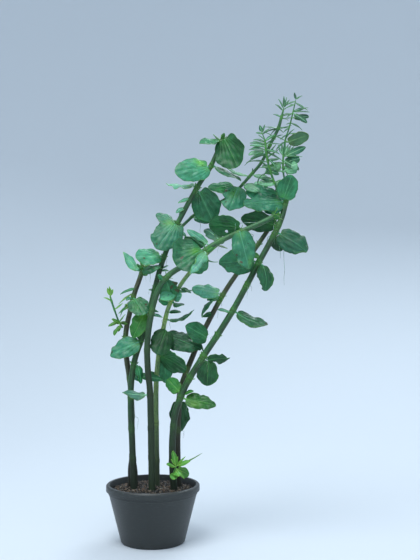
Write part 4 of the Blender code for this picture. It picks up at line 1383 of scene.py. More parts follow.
TOP_BRANCH = Twig(1.3, 1.4, (
    (21.2, 235.4, -3), (26.5, 240.5, 2), (31.6, 245, 7), (41, 250, 10), (51.8, 255, 10), (62.4, 262.5, 9),
    (73.4, 274.5, 8), (81, 283.5, 7), (86.4, 294, 5), (90, 301.5, 4), (93.8, 309, 2), (96, 316.5, 1),
    (98.2, 325, 0),
), leaflets(
    (243, (43, 239.4, 8), 8, 25, 0, 0, (-0.3, 0.5, 0.8), 60),
    (273, (55, 280, 4), 6, -20, 0.6, 0.5, (0.1, -0.5, 0.9)),
    (275, (90, 270.5, 2), 6.5, 25, 0.6, 0.5, (0.2, -0.6, 0.8)),
    # The broad leaf at 268 lies in the shade of others; its tone and pale are painted light.
    (268, (79, 262, 0), 9, 25, 0.8, 0.45, (0.2, -0.8, 0.6), 40), (296, (72.5, 298.5, 2), 4, 40),
    (309.5, (83, 310.5, 0), 3.2, 25, -0.4, 0, (0, -0.3, 0.95)),
    (310, (104, 312, -4), 3.2, -20, -0.4, 0, (0, -0.3, 0.95)), (318, (90, 320, 0), 2.4, 50),
    (323.5, (106, 327, -4), 2.4, 40), (276, (74.6, 279.6, 6), 1.3, 20), (284, (86.5, 280, 4), 1.4, 30),
    (297, (92.5, 303, 8), 1.5, 30), (303, (83.5, 306.5, 1), 1.3, 40), (303, (97.5, 304.5, 6), 1.4, 30),
    (310, (88, 304, 5), 1.2, 50), (317, (101.5, 315.5, 4), 1.3, 40),
    (309.5, (82.6, 305, 3), 1.3, 50, -0.4), (309, (97.6, 306.3, 4), 1.3, 30),
    (318.5, (103, 319.6, 3), 1.4, 40, -0.4), (323, (91.5, 327.5, 3), 1.6, 40, -0.4),
    (324, (94, 331.5, -2), 1.7, 20), (325, (98.2, 333.8, -1), 1.8, 10, -0.4),
    (325, (102.4, 331, 2), 1.8, 20, -0.4), (325, (100.4, 333, -4), 1.4, 10),
))

FINE_TWIG = Twig(1.2, 0.7, (
    (100.4, 258.2, 3), (99.4, 267, 4), (97.6, 278, 4), (97.8, 289.5, 4), (99.2, 300.5, 5), (102, 309.5, 6),
    (105, 321.5, 7), (107.3, 332, 7),
), leaflets(
    # The broad leaf at 268 lies in the shade of others; its tone and pale are painted light.
    (268, (76, 268, -6), 9, 25, 0.8, 0.45, (0, -0.6, 0.8), 50),
    (276.5, (108, 283, 2), 12, 25, 0.8, 0.3, (0.1, -0.8, 0.5), 50),
    (277, (82, 281.5, 8), 8, 25, 0.7, 0.2), (283, (110, 287, 6), 8, 25, 0, 0, (-0.2, -0.9, 0.2)),
    (300.5, (90, 304, 1), 2, 30), (302, (106, 309, 0), 2, 30, -0.4), (299.2, (92, 293, 6), 2, 40),
    (320.4, (95, 319, 10), 2, 30, -0.4), (322, (117.5, 321.6, 4), 2, 20, -0.4),
    (317.5, (117, 318.2, 6), 6, 25, -0.4, 0, (0, -0.8, 0.5)), (314, (112, 308, 8), 2, 40, -0.4),
    (330, (98, 325.5, 8), 2, 50, -0.4), (329, (116, 323, 1), 1.8, 8, -0.4),
    (331.5, (112, 334, 6), 2, 40, -0.4), (331, (106, 336.5, 0), 2, 0, -0.4),
    (327, (102.7, 327, 5), 1.2, 20), (321, (100.3, 317.6, 5), 1.3, 30),
    (317.4, (98.7, 316.9, 8), 1.3, 20), (317.4, (113, 316.9, 4), 1.3, 15),
    (321.5, (115.5, 313.5, 2), 5, 25, -0.4, 0, (0.1, -0.8, 0.5)), (322, (116.5, 325, 9), 3.2, 30, -0.4),
    (314, (99.7, 312.5, 8), 1.2, 20), (310, (97.6, 306.3, 5), 1.2, 30), (310.5, (95, 308.9, 9), 1.4, 20),
    (305, (95.5, 301, 4), 1.2, 40), (305, (109, 305.5, 3), 1.3, 40),
    (288.5, (93.8, 297.5, 2), 1.9, -25, 0.4, 0.9), (288.5, (96.5, 299, 9), 1.9, -20, 0.3, 0.8),
    (288.5, (99.4, 299, 10), 2.2, -15, 0.5, 1), (288.5, (101.6, 297.8, 7), 2.2, -20, 0.5, 1),
    (288.5, (103.8, 297.6, 10), 2.2, -25, 0.4, 0.9), (288.5, (106, 296.4, 7), 2, -30, 0.4, 0.9),
    (288.5, (108, 293.6, 9), 1.8, -30, 0.3, 0.8), (289, (112, 288.2, 1), 1.6, 10),
    (288.5, (109.5, 292.6, 8), 1.3, 20), (288, (114.6, 295.5, 7), 6, 20, 0.1, 0, (0.3, -0.8, 0.4)),
    (285.5, (109.5, 278.2, 3), 6.5, 30, -0.5, 0, (0.3, -0.85, 0.4)),
    # The broad leaf at 284 lies in shade; its tone and pale are painted light.
    (284, (84, 276, 9), 9.5, 25, 0.9, 0.4, (-0.1, -0.75, 0.6), 40), (281, (101.5, 273, 7), 1.4, 20),
    (280, (89.5, 277, 7), 1.3, 40), (271, (92, 262, 5), 5, 25, 0, 0, (0.2, -0.8, 0.5)),
), slim=0.62, taper=8)

FINE_FORK = Twig(1, 0.8, (
    (99.6, 263.5, 3), (95.6, 261.5, 0), (92.6, 265, -2), (88.8, 275, -3), (86, 285, -4), (84.8, 292.5, -5),
    (84, 300, -5), (81.2, 307.5, -5),
), leaflets(
    (292.6, (71.5, 289.6, -7), 5.2, 40, 0.6, 0.6, (0, -0.7, 0.7)),
    (296, (72.6, 296.6, -9), 3.6, 45, 0.3, 0.3, (0, -0.7, 0.7)), (299, (75, 300.8, -3), 2.6, 50),
    (289.6, (68.6, 281.6, -6), 1.5, 55, -0.6), (293.8, (95, 290, -7), 3, 40),
    (291, (97, 285, -2), 2.4, 40), (287, (93, 278.5, -6), 2, 50),
    (275.5, (78.6, 266.8, -8), 2.8, 115, -0.6, 0, (-0.6, -0.2, 0.8)), (284, (70, 284, -1), 2, 40),
    (300, (92, 305, -3), 3, 30), (305, (77, 306, -3), 2.4, 40), (307, (80, 312, -5), 3, 10),
    (305, (88.4, 309.4, -2), 1.2, 40), (306, (84, 312.5, -7), 1.6, 10),
    (297.5, (74.6, 299.4, -6), 2.2, 30), (297.5, (95.5, 297.8, -6), 1.2, 20, -0.4),
    (297.5, (92.5, 301.5, -1), 1.2, 30), (295.5, (73.8, 294.4, -1), 1.5, 60),
    (294, (71.8, 293.4, -10), 3, 45, -0.2, 0, (0, -0.7, 0.7)),
    (291, (73, 286.6, -4), 3.8, 35, 0.6, 0.6, (0, -0.7, 0.7)), (290, (92.6, 298, -2), 1.3, -20, -0.5),
    (288, (95, 294.6, -1), 1.4, -25, -0.6), (285.5, (96, 286.6, -4), 2.8, 20, 0.3, 0.5),
    (281, (97.8, 283.6, -3), 1.4, 60, -0.5), (301, (79, 304.5, -7), 1.3, 30),
    (286.6, (90.4, 291.3, -8), 1.2, 20), (285, (93.8, 286, -5), 2.6, 20),
    (280.5, (96.6, 283, -4), 1.3, 40), (280, (79.5, 279.9, -7), 1.4, 20),
    (279, (82.5, 273.5, 0), 1.3, 40), (277, (94.5, 275.4, 1), 5, 25, 0, 0, (0.1, -0.8, 0.6)),
    (271, (80.5, 271.8, -2), 5, 25, 0, 0, (0, -0.7, 0.7)), (269, (98, 271, -5), 1.4, 30),
))

LEFT_TWIG = Twig(1, 1.3, (
    (-22.9, 160, 4.5), (-26, 165.5, 3), (-28.6, 172.5, 2), (-30.8, 179, 2), (-32.4, 184.5, 2),
), leaflets(
    (184, (-34.2, 190, 1), 2.4, -30, 0.1, 0.7), (184, (-30, 189, 2), 2.2, -30, 0.1, 0.6),
    (163, (-31, 166.5, -1), 4, 25, -0.6, 0, (0, -0.7, 0.7)),
    (162.5, (-29, 154, -1), 5, 60, -0.8, 0, (-0.6, -0.6, 0.5), 60),
    (164, (-20.6, 170, -2), 3.2, 25, -0.5), (165, (-33.5, 161, 4), 4, 40, -0.7),
    (180, (-37, 182.5, 0), 1.8, 50, 0, 0.5), (174, (-22.8, 178.5, 0), 1.8, -20, 0, 0.5),
    (163, (-26, 157, 0), 3.6, 50, -0.8, 0, (-0.2, -0.7, 0.6)), (164, (-19, 163, 3), 3.6, 30, -0.8),
    (184, (-32.6, 191, 3), 2.2, -20, 0, 0.8), (183, (-31.6, 189.4, 0), 2, -20, 0, 0.8),
), slim=0.6, taper=4)

FOOT_TWIG = Twig(1.1, 0.9, (
    (15.6, 50.5, -9.2), (16.4, 53, -11.8), (17.6, 57, -13.5),
), leaflets(
    (56.5, (14.8, 67.5, -15), 4, -30, 0, 0, (0, -0.8, -0.3)),
    (55.5, (10, 57.6, -17), 4, 25, 0, 0, (0, -0.5, 0.8)), (56, (28, 60, -15), 4.4, 20),
    (53, (19.5, 48.5, -19), 5.5, 25, 0, 0, (0.2, -0.8, 0.6), 60),
    (52, (15.5, 46, -17.5), 6, 25, 0, 0, (0, -0.9, 0.4), 50),
    (54.5, (27, 49.5, -8.5), 8, 25, -1, 0, (0.2, -0.8, 0.5)), (56, (37, 66, -12), 1.2, -20, -1),
    (56.5, (18.6, 63.5, -17), 2.2, 20), (56.5, (13.5, 61.5, -12), 2, 20),
    (56, (24.5, 63.5, -12), 1.8, 10), (54, (23.5, 46.5, -14), 2.6, 40),
), slim=0.8, taper=5)


@dataclass
class Shoot:
    """A shoot: its twigs in one piece and its small leaves in another, which both replace its solid.

    Attributes:
        node: the name of its solid.
        twigs: its twigs with their small leaves.
        slot: the record's slot.
        skin: the name of the twigs' finish.
        tissue: the finish of the small leaves.
    """

    node: str
    twigs: tuple[Twig, ...]
    slot: str
    skin: str
    tissue: str

    def twig_mesh(self, path: StemPath, twig: Twig, heights: Sequence[float]) -> Piece:
        """Models one twig with a swelling wherever a small leaf grows.

        Args:
            path: the twig's centre line.
            twig: its sizes.
            heights: how far along it the small leaves grow, in metres.

        Returns:
            The closed twig.
        """
        knots = np.array(heights)

        def closeness(run: Array) -> Array:
            """How near each place is to a small leaf, from 0 to 1."""
            return np.exp(-(np.abs(run[..., None] - knots).min(axis=-1) / (1.0 * MM)) ** 2)

        def attributes(run: Array, angle: Array) -> dict[str, tuple]:
            """The straightened space of the twig and its nodes."""
            return {"stem_space": (np.cos(angle), np.sin(angle), run / MM),
                    "stem_nature": (closeness(run), 0, 0)}

        rows = closed(path.rows)
        rows[1:-1, 3] *= np.clip((path.run[-1] - path.run) / (twig.taper * MM), 0.1, 1) ** 0.5
        return add_tube("twig", rows, 12, attributes, lambda run, angle: twig.slim + 0.16 * closeness(run))

    def build(self) -> None:
        """Models the shoot, dresses it and puts it in its solid's place."""
        twigs, leaves = [], []
        for t, twig in enumerate(self.twigs):
            path = twig.path(self.node)
            heights = [0.0]
            for k, leaflet in enumerate(twig.leaflets):
                heights.append(float(path.run[path.at_height(leaflet.at)]))
                leaves += leaflet.make(path, place(*leaflet.tip), f"{self.node} {t} {k}")
            twigs.append(self.twig_mesh(path, twig, heights))
        skin, tissue = STEM_FINISHES[self.skin], LEAF_FINISHES[self.tissue]
        finish_piece(joined(self.node + "_twig", twigs), skin.material(), self.slot, self.node)
        finish_piece(joined(self.node + "_leaves", leaves), tissue.material(), tissue.slot, self.node)


# Small leaves straight on the stems, by tissue and stem. The third number of a tip is how far it stands in
# front of the stem, in mm.
LEAFLETS: dict[str, dict[str, tuple[Leaflet, ...]]] = {
    "leaf_pale": {"stem_tall": leaflets(
        (257.7, (18.8, 253.5, 2), 4), (250.5, (17.2, 246, 1), 4.4, 50),
        (250.5, (19.5, 243.5, -2), 3.6, 60), (264.5, (25.5, 266.5, 2), 1.6),
        (235, (24.8, 228, 2), 3.6, 40), (204.5, (11.5, 206.5, 2), 2.6), (204.5, (5.5, 204.6, 3), 2.4),
        (203, (12, 202.5, 1), 2.4, 50), (170, (7.5, 167.5, 2), 3.4, 50),
    ), "stem_crossing": leaflets(
        (221, (25.5, 233.4, -1), 6.5, 25, 0, 0, (-0.3, -0.8, 0.4)),
    ), "stem_left": leaflets(
        (204, (-13.5, 203.5, 2), 4.2, 25, 0, 0, (0, -0.6, 0.8), 60),
        (127, (-8, 119.5, 2), 4.2, 25, 0, 0, (-0.3, -0.8, 0.4)), (127, (-13, 122.5, 3), 3.2),
    ), "stem_pale": leaflets(
        (182, (21.6, 184.4, 8), 8.5, 25, -0.1, 0, (0, -0.9, 0.35), 45), (186, (30, 187.6, 2), 3.4, 40),
    )},
    "leaf_bright": {"stem_crossing": leaflets(
        (223.5, (39.6, 216.4, 3), 4.4, 25, 0, 0, (-0.2, -0.9, -0.2), 70),
    ), "stem_tall": leaflets(
        (171.5, (-7, 175.8, 4), 3.2), (171.5, (-1.5, 168.6, 4), 3),
        (199, (10.6, 196.4, 3), 4.4, 25, 0, 0, (0.2, -0.8, 0.5), 60),
    ), "stem_front": leaflets(
        (110, (11, 121.5, -3), 11, 25, 0, 0, (-0.2, -0.9, 0.3), 40),
        (212, (71.5, 217, 3), 4.4, 25, 0, 0, (0, -0.9, 0.2)),
        (212, (77.6, 207.5, 3), 4, 25, 0, 0, (0, -0.9, 0.2)), (110, (30.5, 112.5, 3), 4),
    ), "stem_left": leaflets(
        (203, (-4.5, 199, 3), 4.6, 25, 0, 0, (-0.2, -0.8, 0.5), 60),
    )},
    "young leaves": {"stem_left": leaflets(
        (187, (-25.8, 177.6, 4), 1.7, 30, 0, 0.5), (177.5, (-26, 170.4, 2), 2.8, 25, -0.3),
        (176.5, (-21.5, 176.8, 6), 2.4, 60, -0.3),
    )},
    "leaf_light": {"stem_left": leaflets(
        (183, (-20.2, 180.4, 6), 4, 60),
    ), "stem_pale": leaflets(
        (187, (5.6, 181.4, 12), 10, 25, 0.7, 0.9, (0, -0.85, 0.5), 20),
    ), "stem_front": leaflets(
        # The broad leaf at 260 lies in the shade of others; its tone and pale are painted light.
        (260, (69.8, 262.5, -3), 16, 25, 0.9, 0.3, (0, -0.8, 0.6), 40),
        (262, (69.6, 267.8, -7), 9, 25, 0.8, 0.3, (-0.1, -0.75, 0.6), 50),
        (257, (84, 246.6, 5), 12, 25, 0.5, 0, (0.2, -0.85, 0.45), 45), (171.5, (48.5, 173.6, 4), 4),
    ), "stem_tall": leaflets(
        (148, (-24, 151, -1), 7.5, 25, 0, 0, (0, -0.5, 0.85)), (150, (-13.5, 160, 2), 4, 20),
    ), "stem_back": leaflets(
        (184, (40.5, 180.6, 3), 5.5, 25, 0, 0, (-0.2, -0.8, 0.6)),
    ), "stem_crossing": leaflets(
        (196, (3.6, 199.4, 4), 5.4, 25, 0, 0, (0, -0.8, 0.6)),
    )},
    "leaf_dark": {"stem_left": leaflets(
        (189.5, (-24.8, 184.8, 4), 3.2, 40, 0.3), (181, (-24.8, 168, 5), 1.4, 75),
    ), "stem_tall": leaflets(
        (188, (-3.4, 188.4, 3), 2.2), (173, (4.2, 171.6, 2), 3, 60),
        (125, (8.4, 120.6, -2), 6, 25, 0, 0, (0.2, -0.8, 0.4)),
    ), "stem_pale": leaflets(
        (123, (-3, 126.5, 2), 4.6, 25, 0, 0, (-0.2, -0.8, 0.4)), (190, (28.5, 186, 3), 3.6, 50),
        (172, (21, 171.6, 4), 4.4, 40),
    ), "stem_crossing": leaflets(
        (215, (48.8, 209.4, 2), 1.5, -70),
    ), "stem_back": leaflets(
        (172, (37.5, 168, 4), 4.6, 25, 0, 0, (-0.3, -0.8, 0.4), 60), (151, (38.5, 139.5, 6), 1.3, 20),
    )},
}


@dataclass
class Leaflets:
    """Small leaves straight on the stems, past the ones that have solids of their own; one piece a tissue."""

    paths: dict[str, StemPath]

    def build(self) -> None:
        """Models them and dresses them."""
        for tissue, growing in LEAFLETS.items():
            pieces = []
            for stem, rows in growing.items():
                path = self.paths[stem]
                for leaflet in rows:
                    across, up, forward = leaflet.tip
                    deep = path.rows[path.at_height(leaflet.at), 1] / MM - forward
                    pieces += leaflet.make(path, place(across, up, deep), f"{tissue} {len(pieces)}")
            name = tissue.removeprefix("leaf_").replace(" ", "_") + "_leaflets"
            finish = LEAF_FINISHES[tissue]
            finish_piece(joined(name, pieces), finish.material(), finish.slot)


@dataclass
class YoungLeaves:
    """The pairs of young leaves in the axils of the nodes and at the tips of the stems.

    Attributes:
        paths: the centre lines of the stems.
        knots: how far up each stem its nodes are, in metres.
        lowest: the height below which the axils have none, in metres.
        bare: the share of the axils above it that have none.
        tips: the pairs at a tip, as rows below the tip, length, width and spread in degrees; lengths in mm.
    """

    paths: dict[str, StemPath]
    knots: dict[str, list[float]]
    lowest: float = 110 * MM
    bare: float = 0.35
    tips: tuple[tuple[int, float, float, float], ...] = ((4, 8, 4.4, 62), (2, 6, 3.2, 42), (1, 4, 2, 20))

    def pair(self, path: StemPath, row: int, length: float, width: float, spread: float, turn: float,
             seed: str) -> list[Piece]:
        """Models two leaves that stand opposite each other.

        Args:
            path: the centre line that they grow on.
            row: the row of it where they grow.
            length: their length in mm.
            width: their width in mm.
            spread: how far they stand off from the stem, in degrees.
            turn: how far they are turned round it, in radians.
            seed: starts their random numbers.

        Returns:
            The two blades.
        """
        rows = path.rows
        way = Vector(rows[min(row + 1, len(rows) - 1), :3] - rows[row - 1, :3]).normalized()
        side = Matrix.Rotation(turn, 3, way) @ way.orthogonal().normalized()
        angle = math.radians(spread)
        blades = []
        for sign in (-1, 1):
            out = way * math.cos(angle) + side * sign * math.sin(angle)
            start = Vector(rows[row, :3]) + side * sign * rows[row, 3] * 0.6
            upper = way * math.sin(angle) - side * sign * math.cos(angle)
            form = BladeForm.from_sizes(start, start + out * length * MM, upper, width * MM, 60, 30)
            habit = Habit(wave=0.15)
            blades.append(Blade("young", form, f"{seed} {sign}", habit, 0.45 * MM, 0.28 * MM).make())
        return blades

    def build(self) -> Piece:
        """Models the pairs as one piece."""
        chance = random.Random("young leaves")
        pieces = []
        for name, path in self.paths.items():
            turn = chance.uniform(0, math.pi)
            for k, knot in enumerate(self.knots[name]):
                size, skipped = chance.uniform(2.4, 4.6), chance.random() < self.bare
                turn += math.pi / 2 + chance.uniform(-0.3, 0.3)
                row = path.at_run(knot)
                if not skipped and path.rows[row, 2] > self.lowest:
                    pieces += self.pair(path, max(row, 1), size, size * 0.5, 48, turn, f"{name} axil {k}")
            if name != "stem_front":
                for below, length, width, spread in self.tips:
                    turn += math.pi / 2
                    pieces += self.pair(path, len(path.rows) - below, length, width, spread, turn,
                                        f"{name} tip {below}")
        young = joined("young_leaves", pieces)
        finish_piece(young, LEAF_FINISHES["leaf_bright"].material(), "leaf_bright")
        return young


@dataclass
class HairRoots:
    """The hair roots that hang from the nodes.

    Attributes:
        paths: the centre lines of the stems.
        knots: how far up each stem its nodes are, in metres.
        lowest: the height below which only the long ones grow, in metres.
        hanging: the long ones as (stem, height, across, length) in mm.
        thick: the radius of a long one at its start, in mm.
        thin: that of a short one.
    """

    paths: dict[str, StemPath]
    knots: dict[str, list[float]]
    lowest: float = 75 * MM
    thick: float = 0.24
    thin: float = 0.15
    hanging: tuple[tuple[str, float, float, float], ...] = (
        ("stem_front", 229, 86, 12), ("stem_front", 232, 94, 20), ("stem_front", 231, 98, 39),
        ("stem_crossing", 231, 75, 10), ("stem_crossing", 218, 31.5, 10), ("stem_back", 184, 49, 17),
        ("stem_back", 188, 52, 12), ("stem_tall", 205, -2, 11), ("branch_top", 247, 35.4, 16),
        ("branch_top", 249.5, 38.5, 9), ("stem_left", 180, -19, 10), ("stem_crossing", 239, 62, 8),
    )

    def strand(self, start: Vector, side: Vector, length: float, size: float,
               chance: random.Random) -> Piece:
        """Models one root that leaves a node, bends over and hangs.

        Args:
            start: where it starts, in metres.
            side: where it begins to hang, in metres.
            length: how far it hangs, in mm.
            size: its radius at the start, in mm.
            chance: gives its sways.

        Returns:
            The thin tube.
        """
        down = Vector((0, 0, -MM))
        spots = [start, start.lerp(side, 0.55) + 0.2 * down, side + 0.12 * length * down]
        drift = Vector((chance.uniform(-1, 1), chance.uniform(-1, 1), 0)) * length * 0.012 * MM
        for k in range(1, 7):
            sway = Vector((chance.uniform(-0.35, 0.35), chance.uniform(-0.5, 0.5), 0)) * MM
            spots.append(side + sway + drift * k + length * (0.15 + 0.85 * k / 6) * down)
        sizes = np.linspace(size, 0.4 * size, len(spots)) * MM
        rows = smooth_rows(np.array([[*spot, thick] for spot, thick in zip(spots, sizes)]), 1 * MM)
        return add_tube("strand", closed(rows), 6, lambda run, angle: {})

    def build(self) -> Piece:
        """Models the roots as one piece of thin tubes."""
        chance = random.Random("hair roots")
        strands = []
        for stem, up, across, length in self.hanging:
            start = Vector(self.paths[stem].rows[self.paths[stem].at_height(up), :3])
            strands.append(self.strand(start, place(across, up, start.y / MM), length, self.thick, chance))
        for name, knots in self.knots.items():
            path = self.paths[name]
            for knot in knots:
                row = path.rows[path.at_run(knot)]
                for _ in range(chance.choice((0, 0, 1, 2))):
                    turn = chance.uniform(0, math.tau)
                    length = chance.uniform(3, 11)
                    start = Vector(row[:3])
                    off = float(row[3]) + chance.uniform(1, 2.4) * MM
                    side = start + off * Vector((math.cos(turn), math.sin(turn), 0))
                    if start.z > self.lowest:
                        strands.append(self.strand(start, side, length, self.thin, chance))
        roots = joined("hair_roots", strands)
        finish_piece(roots, RootHair().material(), "stem_pale")
        return roots


@dataclass
class Pot:
    """The moulded pot: a tapered cup with a rolled rim, a step below it and drain holes in its floor."""

    node: Piece
    height: float = 43 * MM
    foot_radius: float = 24 * MM
    body_radius: float = 33.2 * MM
    rim_radius: float = 35 * MM
    wall: float = 1.6 * MM
    floor: float = 2 * MM
    lip: float = 4.8 * MM
    sides: int = 120
    edge: float = 0.4 * MM
    bead: float = 0.1 * MM
    drains: int = 4
    drain_circle: float = 14 * MM
    drain_radius: float = 2 * MM

    def build(self) -> Piece:
        """Models the pot and puts it in its solid's place."""
        edge, lip = self.edge, self.height - self.lip
        foot, body, rim = self.foot_radius, self.body_radius, self.rim_radius
        profile = [(0, edge), (foot * 0.8, edge), (foot * 0.84, 0), (foot - 2 * edge, 0), (foot, 2 * edge),
                   (body - 0.3 * MM, lip - 2.2 * MM), (body + self.bead, lip - 2 * MM),
                   (body + self.bead, lip), (rim, lip + edge), (rim, self.height - 2 * edge),
                   (rim - 2 * edge, self.height), (body - self.wall + 2 * edge, self.height),
                   (body - self.wall, lip), (foot - self.wall, self.floor), (0, self.floor)]
        pot = add_turned("moulded_pot", profile, self.sides)
        for n in range(self.drains):
            turn = math.tau * (n + 0.5) / self.drains
            bpy.ops.mesh.primitive_cylinder_add(
                vertices=32, radius=self.drain_radius, depth=6 * self.floor,
                location=(self.drain_circle * math.cos(turn), self.drain_circle * math.sin(turn), 0))
            cutter = bpy.context.object
            hole = pot.modifiers.new("drain hole", "BOOLEAN")
            hole.operation = "DIFFERENCE"
            hole.object = cutter
            bpy.ops.object.select_all(action="DESELECT")
            bpy.context.view_layer.objects.active = pot
            pot.select_set(True)
            bpy.ops.object.modifier_apply(modifier=hole.name)
            bpy.data.objects.remove(cutter)
        soft = pot.modifiers.new("moulded edges", "BEVEL")
        soft.width = 0.3 * MM
        soft.segments = 3
        soft.limit_method = "ANGLE"
        soft.angle_limit = math.radians(20)
        bpy.ops.object.modifier_apply(modifier=soft.name)
        bpy.ops.object.shade_smooth_by_angle(angle=math.radians(30))
        finish_piece(pot, PotPlastic().material(), "pot", self.node.name)
        return pot


@dataclass
class Gravel:
    """The gravel that fills the pot: a dark bed with loose grains heaped on it.

    Attributes:
        node: the solid that it replaces.
        stems: the centre lines of the stems that stand in it.
        size: the mean size of a grain, in metres.
        layers: how far each layer is sunk and how far apart its grains lie, as shares of that size.
        crown: how far below the solid's top the middle of the heap lies, in metres.
        rim: how far below it the edge of the heap lies, in metres.
    """

    node: Piece
    stems: Sequence[StemPath]
    size: float = 2.3 * MM
    layers: tuple[tuple[float, float], ...] = ((0, 0.86), (0.45, 0.95), (0.8, 1.25))
    crown: float = 0.4 * MM
    rim: float = 2.6 * MM

    def kinds(self) -> list[Piece]:
        """Models six kinds of grain, each a lump with a few worn flats."""
        chance = random.Random("grains")
        kinds = []
        for k in range(6):
            bpy.ops.object.select_all(action="DESELECT")
            bpy.ops.mesh.primitive_ico_sphere_add(subdivisions=2, radius=0.5)
            grain = bpy.context.object
            shape = np.array([v.co for v in grain.data.vertices])
            for _ in range(9):
                way = np.array([chance.gauss(0, 1) for _ in range(3)])
                way /= np.linalg.norm(way)
                over = np.maximum(shape @ way - chance.uniform(0.3, 0.42), 0)
                shape -= 0.9 * over[:, None] * way
            shape *= np.array([1.0, chance.uniform(0.7, 0.95), chance.uniform(0.6, 0.85)])
            grain.data.vertices.foreach_set("co", shape.astype(np.float32).ravel())
            bpy.ops.object.shade_smooth_by_angle(angle=math.radians(28))
            kinds.append(grain)
        return kinds

    def build(self) -> Piece:
        """Models the bed and the grains on it, and puts them in the solid's place."""
        low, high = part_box(self.node.name)
        chance = random.Random("gravel")
        kinds = self.kinds()
        edge = (high.x - low.x) / 2 - 0.2 * MM
        crown, rim = high.z - self.crown, high.z - self.rim
        grains = []
        for sink, pitch in self.layers:
            count = math.ceil(2 * edge / (self.size * pitch))
            for i in range(-count, count + 1):
                for j in range(-count, count + 1):
                    x = (i + 0.5 * (j % 2)) * self.size * pitch + chance.uniform(-0.3, 0.3) * self.size
                    y = j * self.size * pitch * 0.87 + chance.uniform(-0.3, 0.3) * self.size
                    far = math.hypot(x, y)
                    size = self.size * chance.uniform(0.65, 1.25)
                    spin = [chance.uniform(0, math.tau) for _ in range(3)]
                    kind, tone = chance.choice(kinds), chance.random()
                    if far > edge - size * 0.45:
                        continue
                    surface = crown - (crown - rim) * (far / edge) ** 2
                    spot = Vector((x, y, surface - size * 0.42 - sink * self.size))
                    if any(path.gap(spot)[0] < size * 0.3 for path in self.stems):
                        continue
                    grain = bpy.data.objects.new("grain", kind.data.copy())
                    bpy.context.collection.objects.link(grain)
                    turn = Matrix.Rotation(spin[0], 4, "X") @ Matrix.Rotation(spin[1], 4, "Y") \
                        @ Matrix.Rotation(spin[2], 4, "Z")
                    grain.data.transform(Matrix.Translation(spot) @ turn @ Matrix.Scale(size, 4))
                    kept = grain.data.attributes.new("grain_tone", "FLOAT", "POINT")
                    kept.data.foreach_set("value", np.full(len(grain.data.vertices), tone, np.float32))
                    grains.append(grain)
        for kind in kinds:
            bpy.data.objects.remove(kind)
        heap = joined("gravel_grains", grains)
        material = GRAVEL.material()
        finish_piece(heap, material, "soil", self.node.name)
        log.info("%d grains", len(grains))
        wall = [(0, low.z), (22 * MM, low.z), (edge - 0.6 * MM, rim - 2.2 * MM)]
        dome = [(edge * share, crown - (crown - rim) * share ** 2 - 2.4 * MM)
                for share in (0.8, 0.6, 0.4, 0.2, 0)]
        bed = add_turned("gravel_bed", wall + dome, 64)
        bpy.ops.object.shade_smooth_by_angle(angle=math.radians(30))
        finish_piece(bed, material, "soil", self.node.name)
        return heap


@dataclass
class Studio:
    """The plain pale floor and backdrop, the soft lights and the camera."""

    flat: float = 0.42
    curve: float = 1.5
    wall: float = 1.7
    sides: int = 96

    def floor(self) -> Piece:
        """Adds a pale sweep of paper: a round floor that curves up into a wall far from the object."""
        profile = [(0, 0), (0.2, 0), (self.flat, 0)]
        profile += [(self.flat + self.curve * math.sin(a), self.curve * (1 - math.cos(a)))
                    for a in np.linspace(0, math.pi / 2, 25)[1:]]
        sweep = add_turned("studio_floor", [*profile, (self.flat + self.curve, self.wall)], self.sides)
        bpy.ops.object.shade_smooth()
        sweep.data.materials.append(StudioPaper().material())
        return sweep

    def light(self, name: str, spot: Sequence[float], size: float, power: float, colour: str) -> None:
        """Adds a square soft light that looks at the middle of the plant.

        Args:
            name: its name.
            spot: its place in metres.
            size: the length of its sides in metres.
            power: its power in watts.
            colour: its hex colour.
        """
        data = bpy.data.lights.new(name, "AREA")
        data.size = size
        data.energy = power
        data.color = linear(colour)[:3]
        lamp = bpy.data.objects.new(name, data)
        lamp.location = spot
        aim = Vector((VIEW_ACROSS, 0, VIEW_UP)) - Vector(spot)
        lamp.rotation_euler = aim.to_track_quat("-Z", "Y").to_euler()
        lamp.visible_camera = False
        bpy.context.collection.objects.link(lamp)

    def camera(self) -> None:
        """Adds the camera at the photograph's viewing angle: level, in front of the plant."""
        data = bpy.data.cameras.new("camera")
        data.lens = VIEW_LENS
        data.sensor_width = VIEW_SENSOR
        camera = bpy.data.objects.new("camera", data)
        camera.location = (VIEW_ACROSS, -VIEW_DISTANCE, VIEW_UP)
        camera.rotation_euler = (math.pi / 2, 0, 0)
        bpy.context.collection.objects.link(camera)
        bpy.context.scene.camera = camera

    def build(self) -> None:
        """Sets the scene round the object."""
        self.floor()
        self.light("key", (-0.18, -0.38, 1.0), 0.55, 6.8, "#f8fcff")
        self.light("fill", (0.7, -1.0, 0.35), 0.8, 1.8, "#e8f3ff")
        self.light("back", (0.35, 0.7, 0.9), 0.6, 4.4, "#f0f8ff")
        world = bpy.data.worlds.new("studio")
        world.use_nodes = True
        world.node_tree.nodes["Background"].inputs["Color"].default_value = linear("#dae6f2")
        world.node_tree.nodes["Background"].inputs["Strength"].default_value = 0.92
        bpy.context.scene.world = world
        bpy.context.scene.view_settings.view_transform = "Standard"
        self.camera()


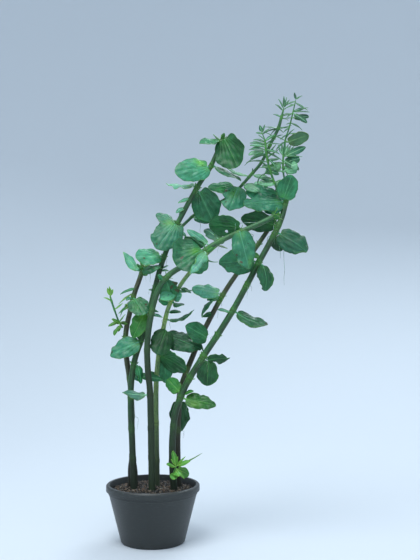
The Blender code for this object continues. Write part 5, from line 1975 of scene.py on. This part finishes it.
@dataclass
class PottedRotala:
    """The whole potted plant, dressed on the frame of its solids.

    Attributes:
        nodes: the solids by name.
        slots: the record's slot of each.
        first_knot: how far up a stem its lowest node may be, in metres.
        knot_gap: the longest stretch without a node, in metres.
        dark_below: the height below which a stem darkens, in metres.
    """

    nodes: dict[str, Piece]
    slots: dict[str, str]
    first_knot: float = 22 * MM
    knot_gap: float = 31 * MM
    dark_below: float = 150 * MM

    def attach(self, paths: dict[str, StemPath], foot: Vector) -> tuple[StemPath, int]:
        """The stem that a leaf's stalk starts on, and the row nearest to it."""
        path = min(paths.values(), key=lambda p: p.gap(foot)[0])
        return path, path.gap(foot)[1]

    def bare_knots(self, path: StemPath, knots: list[float]) -> list[float]:
        """Adds the leafless nodes below and between the leafy ones, where they are far apart."""
        chance = random.Random(path.name + " knots")
        full = sorted([self.first_knot, *knots, float(path.run[-1])])
        extra = []
        for low, high in zip(full, full[1:]):
            count = int((high - low) / self.knot_gap)
            for k in range(1, count + 1):
                extra.append(low + (high - low) * (k + chance.uniform(-0.12, 0.12)) / (count + 1))
        return sorted([*knots, *extra])

    def build(self) -> None:
        """Builds every piece in order."""
        paths = {name: StemPath.from_solid(node) for name, node in self.nodes.items()
                 if name.startswith("stem_")}
        grown = {**paths, "branch_top": TOP_BRANCH.path("branch_top"),
                 "shoot_fine": FINE_TWIG.path("shoot_fine")}
        knots: dict[str, list[float]] = {name: [] for name in grown}
        for name, node in self.nodes.items():
            if name.startswith("leaf_"):
                form = BladeForm.from_solid(node)
                path, row = self.attach(grown, form.foot)
                knots[path.name].append(float(path.run[row]))
                root = form.foot.lerp(Vector(path.rows[row, :3]), 0.5)
                Leaf(node, form, self.slots[name], root).build()
        knots = {name: self.bare_knots(path, knots[name]) for name, path in paths.items()}
        for name, path in paths.items():
            slot = self.slots[name]
            skin, dark_below = YOUNG_TOPS.get(name, (slot, self.dark_below))
            Stem(self.nodes[name], path, knots[name], slot, skin, dark_below).build()
        Shoot("branch_top", (TOP_BRANCH,), "stem_green", "young green stem", "needles").build()
        Shoot("shoot_fine", (FINE_TWIG, FINE_FORK), "shoot", "shoot", "needles").build()
        Shoot("shoot_left", (LEFT_TWIG,), "shoot", "shoot", "young leaves").build()
        Shoot("shoot_foot", (FOOT_TWIG,), "shoot", "shoot", "young leaves").build()
        Leaflets(paths).build()
        YoungLeaves(paths, knots).build()
        HairRoots(grown, knots).build()
        Pot(self.nodes["pot"]).build()
        Gravel(self.nodes["soil"], list(paths.values())).build()


def main() -> None:
    """Loads the frame, dresses the plant and sets the studio round it."""
    logging.basicConfig(level=logging.INFO, format="%(name)s: %(message)s")
    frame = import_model()
    slots = {part["node"]: part["material_slot"] for part in frame["record"]["subparts"]}
    PottedRotala(frame["nodes"], slots).build()
    Studio().build()


if __name__ == "__main__":
    main()
